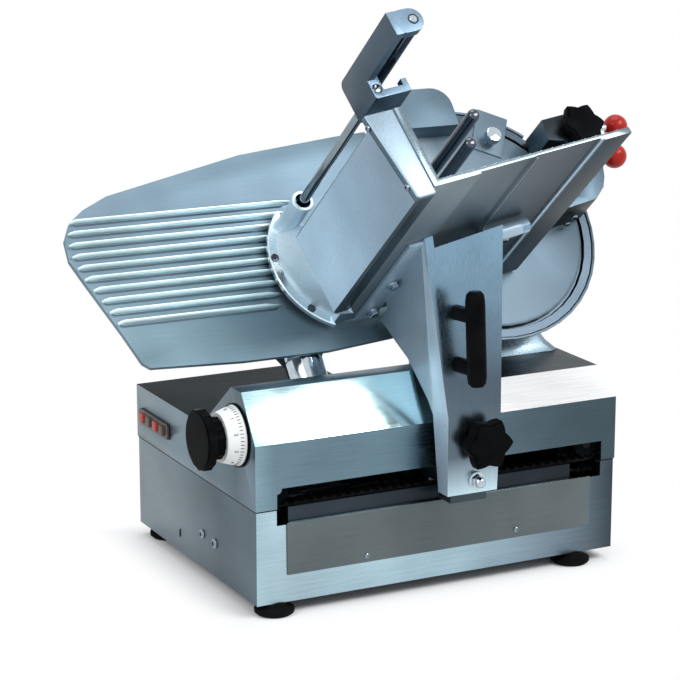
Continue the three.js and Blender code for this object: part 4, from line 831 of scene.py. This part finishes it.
def flattened(piece, centre, axis, share):
    # squashed along one axis, about a centre
    activate(piece)
    bpy.ops.object.mode_set(mode="EDIT")
    bpy.ops.mesh.select_all(action="SELECT")
    turn = axis.to_track_quat("Z", "Y").to_matrix()
    bpy.ops.transform.resize(value=(1, 1, share), orient_type="GLOBAL", orient_matrix=turn.transposed(),
                             orient_matrix_type="GLOBAL", center_override=centre)
    bpy.ops.mesh.normals_make_consistent(inside=False)
    bpy.ops.object.mode_set(mode="OBJECT")


ridgeSettings = {
    "pitch": 15.6, "first": 54.9, "high": 2.6, "right": -240, "rightStep": -7, "left": 556,
    # how far left each ridge reaches, from the top down
    "shares": (0.978, 0.988, 0.993, 0.993, 0.988, 0.979, 0.967, 0.955, 0.945, 0.934),
}


def addRidges():
    s = ridgeSettings
    ridges = []
    for i, share in enumerate(s["shares"]):
        n = s["first"] - i * s["pitch"]
        left, right = -s["left"] * share, s["right"] + i * s["rightStep"]
        half = s["pitch"] / 2
        length = right - left
        profile = [(half * 0.5, 0), (half, half), (half, length - 3 * half),
                   (half * 0.6, length - half), (1, length)]
        ridge = turned("ridge", onSlope(left, n, 0), alongBase, profile, 32, 70)
        flattened(ridge, onSlope(left, n, 0), towardsFood, s["high"] / half)
        ridges.append(ridge)
    settle(merged("gaugePlateRidges", ridges), "ridges", "gauge", slotOf["gauge_plate"])
    print("ridges made:", len(ridges))


addRidges()

housingSettings = {
    "sheet": [(-290, -266.4), (-88.5, 23), (62, 340)], "sheetBend": 4,  # spans along t, w and u
    "cap": [(-306, -266.4), (-88.5, 26), (332, 343)], "capBend": 2.5,
    "taper": 13, "taperLeftOf": -276.4,  # the cap's lower left corner moves in by the taper
}


def trayBox(name, spans):
    # a box that stands square to the tray
    deselect()
    bpy.ops.mesh.primitive_cube_add(
        size=1, scale=[(high - low) * millimetre for low, high in spans],
        location=onTray(*[(low + high) / 2 for low, high in spans]), rotation=traySquare)
    box = bpy.context.object
    box.name = name
    bpy.ops.object.transform_apply(location=True, rotation=True, scale=True)
    return box


def addHousing():
    s = housingSettings
    housing = trayBox("endHousingSheet", s["sheet"])
    addModifier(housing, "BEVEL", width=s["sheetBend"] * millimetre, segments=5, limit_method="ANGLE")
    smoothed(housing, 40)
    # painted light and shade: a shaded sheet with lit side and food-facing faces, and a cap whose food-facing
    # faces take a painted highlight
    settle(housing, "castPaintedShade", "carriage", slotOf["end_housing"], "end_housing")
    paint(housing, [
        ("housingSide", lambda n, c: n.dot(trayAcross) < -0.9),
        ("castPaintedLight", lambda n, c: n.dot(towardsFood) > 0.9),
    ])
    cap = trayBox("endHousingCap", s["cap"])
    bpy.ops.object.mode_set(mode="EDIT")
    bpy.ops.mesh.select_mode(type="VERT")
    bpy.ops.mesh.select_all(action="DESELECT")
    mesh = bmesh.from_edit_mesh(cap.data)
    for vertex in mesh.verts:
        offset = (vertex.co - bladeCentre) / millimetre
        vertex.select_set(offset.dot(trayAway) < 0 and offset.dot(trayAcross) < s["taperLeftOf"])
    bmesh.update_edit_mesh(cap.data)
    bpy.ops.transform.translate(value=trayAcross * s["taper"] * millimetre)
    bpy.ops.object.mode_set(mode="OBJECT")
    addModifier(cap, "BEVEL", width=s["capBend"] * millimetre, segments=3, limit_method="ANGLE")
    smoothed(cap, 40)
    settle(cap, "castMiddle", "carriage", slotOf["end_housing"])
    paint(cap, [("castPaintedHighlight", lambda n, c: n.dot(towardsFood) > 0.7)])
    print("end housing made")


addHousing()

rodAt = (-269, 57)  # the pusher rod's place on the tray
socketSettings = {
    "centre": (-208, 0),
    "profile": [(100.5, 8), (102.2, 10), (102.2, 15.5), (101, 17), (91, 17.3)],
    "topRadius": 86, "topHeight": 66, "topShift": (4, -35),  # the flange leans over to the tube
    "cut": -266.2,  # where the tray's wall ends the flange
    "tube": [(19, 10), (15, 20), (13, 26), (13, 78), (14, 79), (14, 84), (13, 85), (10, 85), (9.4, 74)],
    "bend": 1.5, "bendAngle": 30, "boreAt": 80, "boreReach": 11.2, "rimBelow": 18,
    "holes": ((-301.3, 22.7), (-293, -59.3)), "holeCircle": 95.8,
    "hole": [(5.4, 0), (5.4, 0.5), (4.4, 0.8), (3.2, 0.8), (3, 0.2)],
}


def addSocket():
    s = socketSettings
    centre = onTray(*s["centre"], 0)
    flange = turned("socketFlange", centre, towardsFood, s["profile"], 96)
    across, away = s["topShift"]
    shoulder, height = s["profile"][-1]
    bpy.ops.object.mode_set(mode="EDIT")
    bpy.ops.mesh.select_all(action="DESELECT")
    selectEnd(flange, towardsFood)
    bpy.ops.mesh.extrude_region_move(TRANSFORM_OT_translate={"value": (
        towardsFood * (s["topHeight"] - height) + trayAcross * across + trayAway * away) * millimetre})
    bpy.ops.transform.resize(value=(s["topRadius"] / shoulder,) * 3)
    bpy.ops.mesh.select_all(action="SELECT")
    bpy.ops.mesh.bisect(plane_co=onTray(s["cut"], 0, 0), plane_no=trayAcross,
                        use_fill=True, clear_outer=True)
    bpy.ops.mesh.select_all(action="SELECT")
    bpy.ops.mesh.normals_make_consistent(inside=False)
    bpy.ops.object.mode_set(mode="OBJECT")
    addModifier(flange, "BEVEL", width=s["bend"] * millimetre, segments=3, limit_method="ANGLE",
                angle_limit=math.radians(s["bendAngle"]))
    smoothed(flange, 35)
    tube = turned("socketTube", onTray(*rodAt, 0), towardsFood, s["tube"])
    flange = merged("rodSocketFlange", [flange, tube])
    settle(flange, "socketLight", "carriage", slotOf["rod_socket"], "rod_socket")
    bore = onTray(*rodAt, s["boreAt"])
    # painted shade in the bore and a painted highlight on the rim
    paint(flange, [
        ("castPaintedShade", lambda n, c: (c - bore).length < s["boreReach"] * millimetre),
        ("edgePaintedHighlight", lambda n, c: (c - bladeCentre).dot(towardsFood) < s["rimBelow"] * millimetre),
    ])
    holes = []
    for t, w in s["holes"]:
        outwards = (onTray(t, w, 0) - centre).normalized()
        seat = onTray(*s["centre"], height - 0.1) + outwards * s["holeCircle"] * millimetre
        holes.append(turned("socketHole", seat, towardsFood, s["hole"], 24))
    settle(merged("socketScrews", holes), "darkChrome", "carriage", slotOf["rod_socket"])
    print("rod socket made")


addSocket()

stripBend = 0.2
# Name, middle, size in millimetres, finish and body
stripSettings = [
    # the seam strips and the end slit are dark strips of painted shade in the gaps, given the black rubber finish;
    # the two tray strips carry painted light
    ("seamShadowLeft", onBase(0.8, 183, 133), (0.6, 362, 1.5), "blackRubber", "base"),
    ("seamShadowRight", onBase(499.2, 183, 133), (0.6, 362, 1.5), "blackRubber", "base"),
    ("seamShadowFrontLeft", onBase(14.5, 0.8, 133), (27, 0.6, 1.5), "blackRubber", "base"),
    ("seamShadowFrontRight", onBase(485, 0.8, 133), (27, 0.6, 1.5), "blackRubber", "base"),
    ("endSlitShadow", onBase(1, 232, 40), (0.8, 2.6, 10), "blackRubber", "base"),
    ("trayRidgeInner", onTray(-121, -79.6, 176), (2.2, 1.2, 334), "castPaintedLight", "carriage"),
    ("trayRidgeOuter", onTray(-24, -77.5, 176), (6, 3, 334), "castPaintedHighlight", "carriage"),
]


def addStrips():
    for name, place, size, finish, body in stripSettings:
        turn = traySquare if body == "carriage" else (0, 0, 0)
        deselect()
        bpy.ops.mesh.primitive_cube_add(size=1, scale=[v * millimetre for v in size],
                                        location=place, rotation=turn)
        strip = bpy.context.object
        strip.name = name
        bpy.ops.object.transform_apply(location=True, rotation=True, scale=True)
        addModifier(strip, "BEVEL", width=stripBend * millimetre, segments=2)
        settle(strip, finish, body, "rubber" if finish == "blackRubber" else slotOf["product_tray"])
    print("strips made:", len(stripSettings))


addStrips()

footSettings = {
    "x": (30, 446), "y": (14, 338),
    "profile": [(21, 0), (24.5, 3), (24.5, 7), (15.4, 11), (15, 15.7)],
}
for row, y in zip(("Front", "Rear"), footSettings["y"]):
    for side, x in zip(("Left", "Right"), footSettings["x"]):
        foot = turned("foot" + row + side, onBase(x, y, 0), upwards, footSettings["profile"])
        settle(foot, "blackRubber", "base", "rubber", "foot_" + row.lower() + "_" + side.lower())
print("feet made")

starBevel = 1.2
# Each knob's copy: its name and how far it is swelled, because rounding shrinks it
starSettings = {
    "arm_knob": ("armStar", 1.1),
    "sharpener_knob": ("sharpenerStar", 1.06),
    "thickness_knob": ("thicknessKnobFluted", 1),
}
for node, (name, grown) in starSettings.items():
    star = eased(name, node, starBevel, rounds=1)
    middle = sum((Vector(corner) for corner in star.bound_box), Vector()) / 8
    activate(star)
    bpy.ops.object.mode_set(mode="EDIT")
    bpy.ops.mesh.select_all(action="SELECT")
    bpy.ops.transform.resize(value=(grown,) * 3, center_override=middle)
    bpy.ops.object.mode_set(mode="OBJECT")
    settle(star, "blackPlastic", bodyOf[node], "black_plastic", node)
print("knobs smoothed")

dialSettings = {
    "place": (-0.3, *dialAt[1:]),
    "cone": [(37, 0), (37, 2), (36.6, 4), (30, 24), (12, 24)],
    "ring": [(38.6, 0), (38.6, 2.6)],
    "ticks": 50, "tick": (4.2, 0.7, 0.5), "tickAt": 8, "tickRaised": 0.05,
    "numbers": 10, "numberAt": 14.5, "numberRaised": 0.1, "numberHeight": 6.5, "numberDepth": 0.15,
}


def addDial():
    s = dialSettings
    centre = onBase(*s["place"])
    cone = turned("dialCone", centre, toLeft, s["cone"], 96)
    settle(cone, "whitePlastic", "thickness_control", "white_plastic", "thickness_dial")
    ring = turned("dialRing", centre, toLeft, s["ring"], 96)
    settle(ring, "blackPlastic", "thickness_control", "black_plastic")
    (foot, footAt), (head, headAt) = s["cone"][2:4]
    slope = math.atan2(foot - head, headAt - footAt)
    outwards = Vector((-math.sin(slope), 0, math.cos(slope)))
    tickRadius = foot - (s["tickAt"] - footAt) * math.tan(slope) + s["tickRaised"]
    numberRadius = foot - (s["numberAt"] - footAt) * math.tan(slope) + s["numberRaised"]
    deselect()
    bpy.ops.mesh.primitive_cube_add(
        size=1, scale=[v * millimetre for v in s["tick"]],
        location=centre + (toLeft * s["tickAt"] + upwards * tickRadius) * millimetre,
        rotation=(0, -slope, 0))
    ticks = bpy.context.object
    ticks.name = "dialTicks"
    bpy.ops.object.transform_apply(location=True, rotation=True, scale=True)
    bpy.ops.object.mode_set(mode="EDIT")
    bpy.ops.mesh.select_all(action="SELECT")
    bpy.ops.mesh.spin(steps=s["ticks"] - 1, dupli=True, angle=2 * math.pi * (1 - 1 / s["ticks"]),
                      center=centre, axis=(1, 0, 0))
    bpy.ops.object.mode_set(mode="OBJECT")
    settle(ticks, "blackPlastic", "thickness_control", "black_plastic")
    figures = []
    for i in range(s["numbers"]):
        spin = Matrix.Rotation(2 * math.pi * i / s["numbers"], 3, "X")
        upright = spin @ Vector((math.cos(slope), 0, math.sin(slope)))
        normal = spin @ outwards
        basis = Matrix((upright.cross(normal), upright, normal)).transposed()
        place = centre + (toLeft * s["numberAt"] + (spin @ upwards) * numberRadius) * millimetre
        deselect()
        bpy.ops.object.text_add(radius=s["numberHeight"] * millimetre, location=place,
                                rotation=basis.to_euler())
        number = bpy.context.object.data
        number.body = str(i)
        number.align_x = "CENTER"
        number.align_y = "CENTER"
        number.extrude = s["numberDepth"] * millimetre
        bpy.ops.object.convert(target="MESH")
        figure = bpy.context.object
        bpy.ops.object.transform_apply(location=True, rotation=True, scale=True)
        figures.append(figure)
    settle(merged("dialNumbers", figures), "blackPlastic", "thickness_control", "black_plastic")
    print("dial made")


addDial()

# Each rod's node, place on the tray, finish and profile
postProfile = [(7.5, 130.3), (7.5, 338), (6.6, 341), (4.6, 342.6), (1.5, 343)]
rodSettings = {
    "pusherRodTurned": ("pusher_rod", rodAt, "rodChrome", [(6, 30), (6, 337), (5, 338)]),
    "pusherGripBar": ("pusher_grip", (-242, 82), "darkChrome", [(7, 296.6), (7, 420.7)]),
    "upperPostPin": ("upper_post", (-168, -5), "darkChrome", postProfile),
    "lowerPostPin": ("lower_post", (-191, -38), "darkChrome", postProfile),
}
for name, (node, place, finish, profile) in rodSettings.items():
    rod = turned(name, onTray(*place, 0), towardsFood, profile, smooth=60)
    settle(rod, finish, bodyOf[node], slotOf[node], node)
print("rods made:", len(rodSettings))

staySettings = {
    "place": onTray(-126, -90, 176),
    "profile": [(12, 0), (10.4, 4), (9.6, 10), (9.4, 52), (8.6, 59), (6.4, 64), (3, 66.5)],
}
# the stay takes the painted highlight tone of the cast metal
stay = turned("armStay", staySettings["place"], trayAcross, staySettings["profile"], smooth=60)
settle(stay, "castPaintedHighlight", "carriage", slotOf["product_tray"])

ballSettings = {
    "upper_ball_rod": {"name": "upperBall", "x": 241, "n": 108, "left": 150},
    "lower_ball_rod": {"name": "lowerBall", "x": 222.3, "n": 63.8, "left": 160},
}
ballRadius, ballHeight = 16.5, 30
ballRod = {"radius": 4, "inside": 12}  # the rod ends this far short of the ball's centre
for node, s in ballSettings.items():
    deselect()
    bpy.ops.mesh.primitive_uv_sphere_add(segments=48, ring_count=24, radius=ballRadius * millimetre,
                                         location=onSlope(s["x"], s["n"], ballHeight))
    ball = bpy.context.object
    bpy.ops.object.transform_apply(location=True, rotation=True, scale=True)
    bpy.ops.object.shade_smooth()
    ball.data.materials.append(finishes["redPlastic"])
    ends = [(ballRod["radius"], s["left"]), (ballRod["radius"], s["x"] - ballRod["inside"])]
    rod = turned(s["name"] + "Rod", onSlope(0, s["n"], ballHeight), alongBase, ends)
    rod.data.materials.append(finishes["brightChrome"])
    ball = merged(s["name"], [ball, rod])
    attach(ball, bodyOf[node])
    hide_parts(node)
print("balls made")


# Fasteners
def hexHead(name, place, axis, radius, low, high):
    return turned(name, place, axis, [(radius, low), (radius, high - 0.8), (radius * 0.86, high)], 6, 20)


armNutSettings = {
    "place": onBase(273, -45.3, 148.5),
    "washer": [(10.8, 0), (10.8, 1.7), (10.3, 2)],
    "hex": (9, 2, 8),
    "dome": [(7, 7.5), (7, 10), (6.1, 13), (4, 15), (1.2, 15.6)],
}
s = armNutSettings
nut = merged("armDomeNut", [
    turned("armWasher", s["place"], toFront, s["washer"]),
    hexHead("armHex", s["place"], toFront, *s["hex"]),
    turned("armDome", s["place"], toFront, s["dome"], smooth=60),
])
settle(nut, "brightChrome", bodyOf["arm_nut"], "chrome", "arm_nut")

bracketScrewSettings = {
    "place": onTray(-247, 84, 432),
    "recess": [(6.6, -0.5), (6.6, 0.4), (5.4, 0.4), (5.2, 0.1)],
    "head": [(4.6, -0.2), (4.6, 0.6), (4, 1.2), (2, 1.3), (1.8, 0.5)],
}
s = bracketScrewSettings
recess = turned("bracketScrewRecess", s["place"], towardsFood, s["recess"])
head = turned("bracketScrewHead", s["place"], towardsFood, s["head"])
settle(recess, "darkChrome", "pusher", slotOf["pusher_bracket"])
settle(head, "brightChrome", "pusher", slotOf["pusher_bracket"])

armBoltSettings = {
    "across": -217.5, "away": -84.6,
    "heights": {"upper_arm_bolt": 98, "lower_arm_bolt": 29},
    "washer": [(9, 0), (9, 1.4), (8.6, 1.6)],
    "hex": (7, 1.6, 7.6),
}
s = armBoltSettings
for node, height in s["heights"].items():
    seat = onTray(s["across"], s["away"], height)
    bolt = merged(node.replace("_arm_bolt", "ArmBolt"), [
        turned("washer", seat, -trayAway, s["washer"]),
        hexHead("hex", seat, -trayAway, *s["hex"]),
    ])
    settle(bolt, "brightChrome", "carriage", "chrome", node)
print("nut and bolts made")

# Name, seat, direction, radius, height and body
screwSettings = [
    ("slotScrewLeft", onBase(147.7, -0.6, 58), toFront, 3.4, 1.8, "base"),
    ("slotScrewRight", onBase(357, -0.6, 60), toFront, 3.4, 1.8, "base"),
    ("endScrewRear", onBase(1.2, 160, 60), toLeft, 6, 3.2, "base"),
    ("endScrewFront", onBase(1.2, 122, 59), toLeft, 6.5, 3.4, "base"),
    ("trayBolt", onTray(-63, -80, 128), -trayAway, 7, 5, "carriage"),
    ("housingBolt", onTray(-295.5, -70, 337.5), -trayAcross, 4, 2, "carriage"),
    ("housingScrew", onTray(-305.5, 12, 337.5), -trayAcross, 4, 2, "carriage"),
    ("armSideScrew", onBase(234, -20, 172), toLeft, 4.5, 2.5, "carriage"),
    ("sharpenerScrewUpper", onSlope(127.6, -19.7, 30), -upSlope, 4.5, 3, "base"),
    ("sharpenerScrewLower", onSlope(125.2, -19.7, 12), -upSlope, 4.5, 3, "base"),
]
screwShares = {"rim": 0.45, "crown": (0.8, 0.85), "recess": 0.45, "mouth": 1.1, "floor": (0.9, 0.4)}


def addScrews():
    s = screwShares
    for name, place, axis, radius, height, body in screwSettings:
        inner = s["recess"] * radius
        profile = [(radius, 0), (radius, s["rim"] * height), (s["crown"][0] * radius, s["crown"][1] * height),
                   (inner * s["mouth"], height), (inner, height),
                   (inner * s["floor"][0], s["floor"][1] * height)]
        screw = turned(name, place, axis, profile, 32)
        settle(screw, "rodChrome", body, "chrome")
    print("screws made:", len(screwSettings))


addScrews()

addCamera()
addLamps()
addWorld()
addFloor()
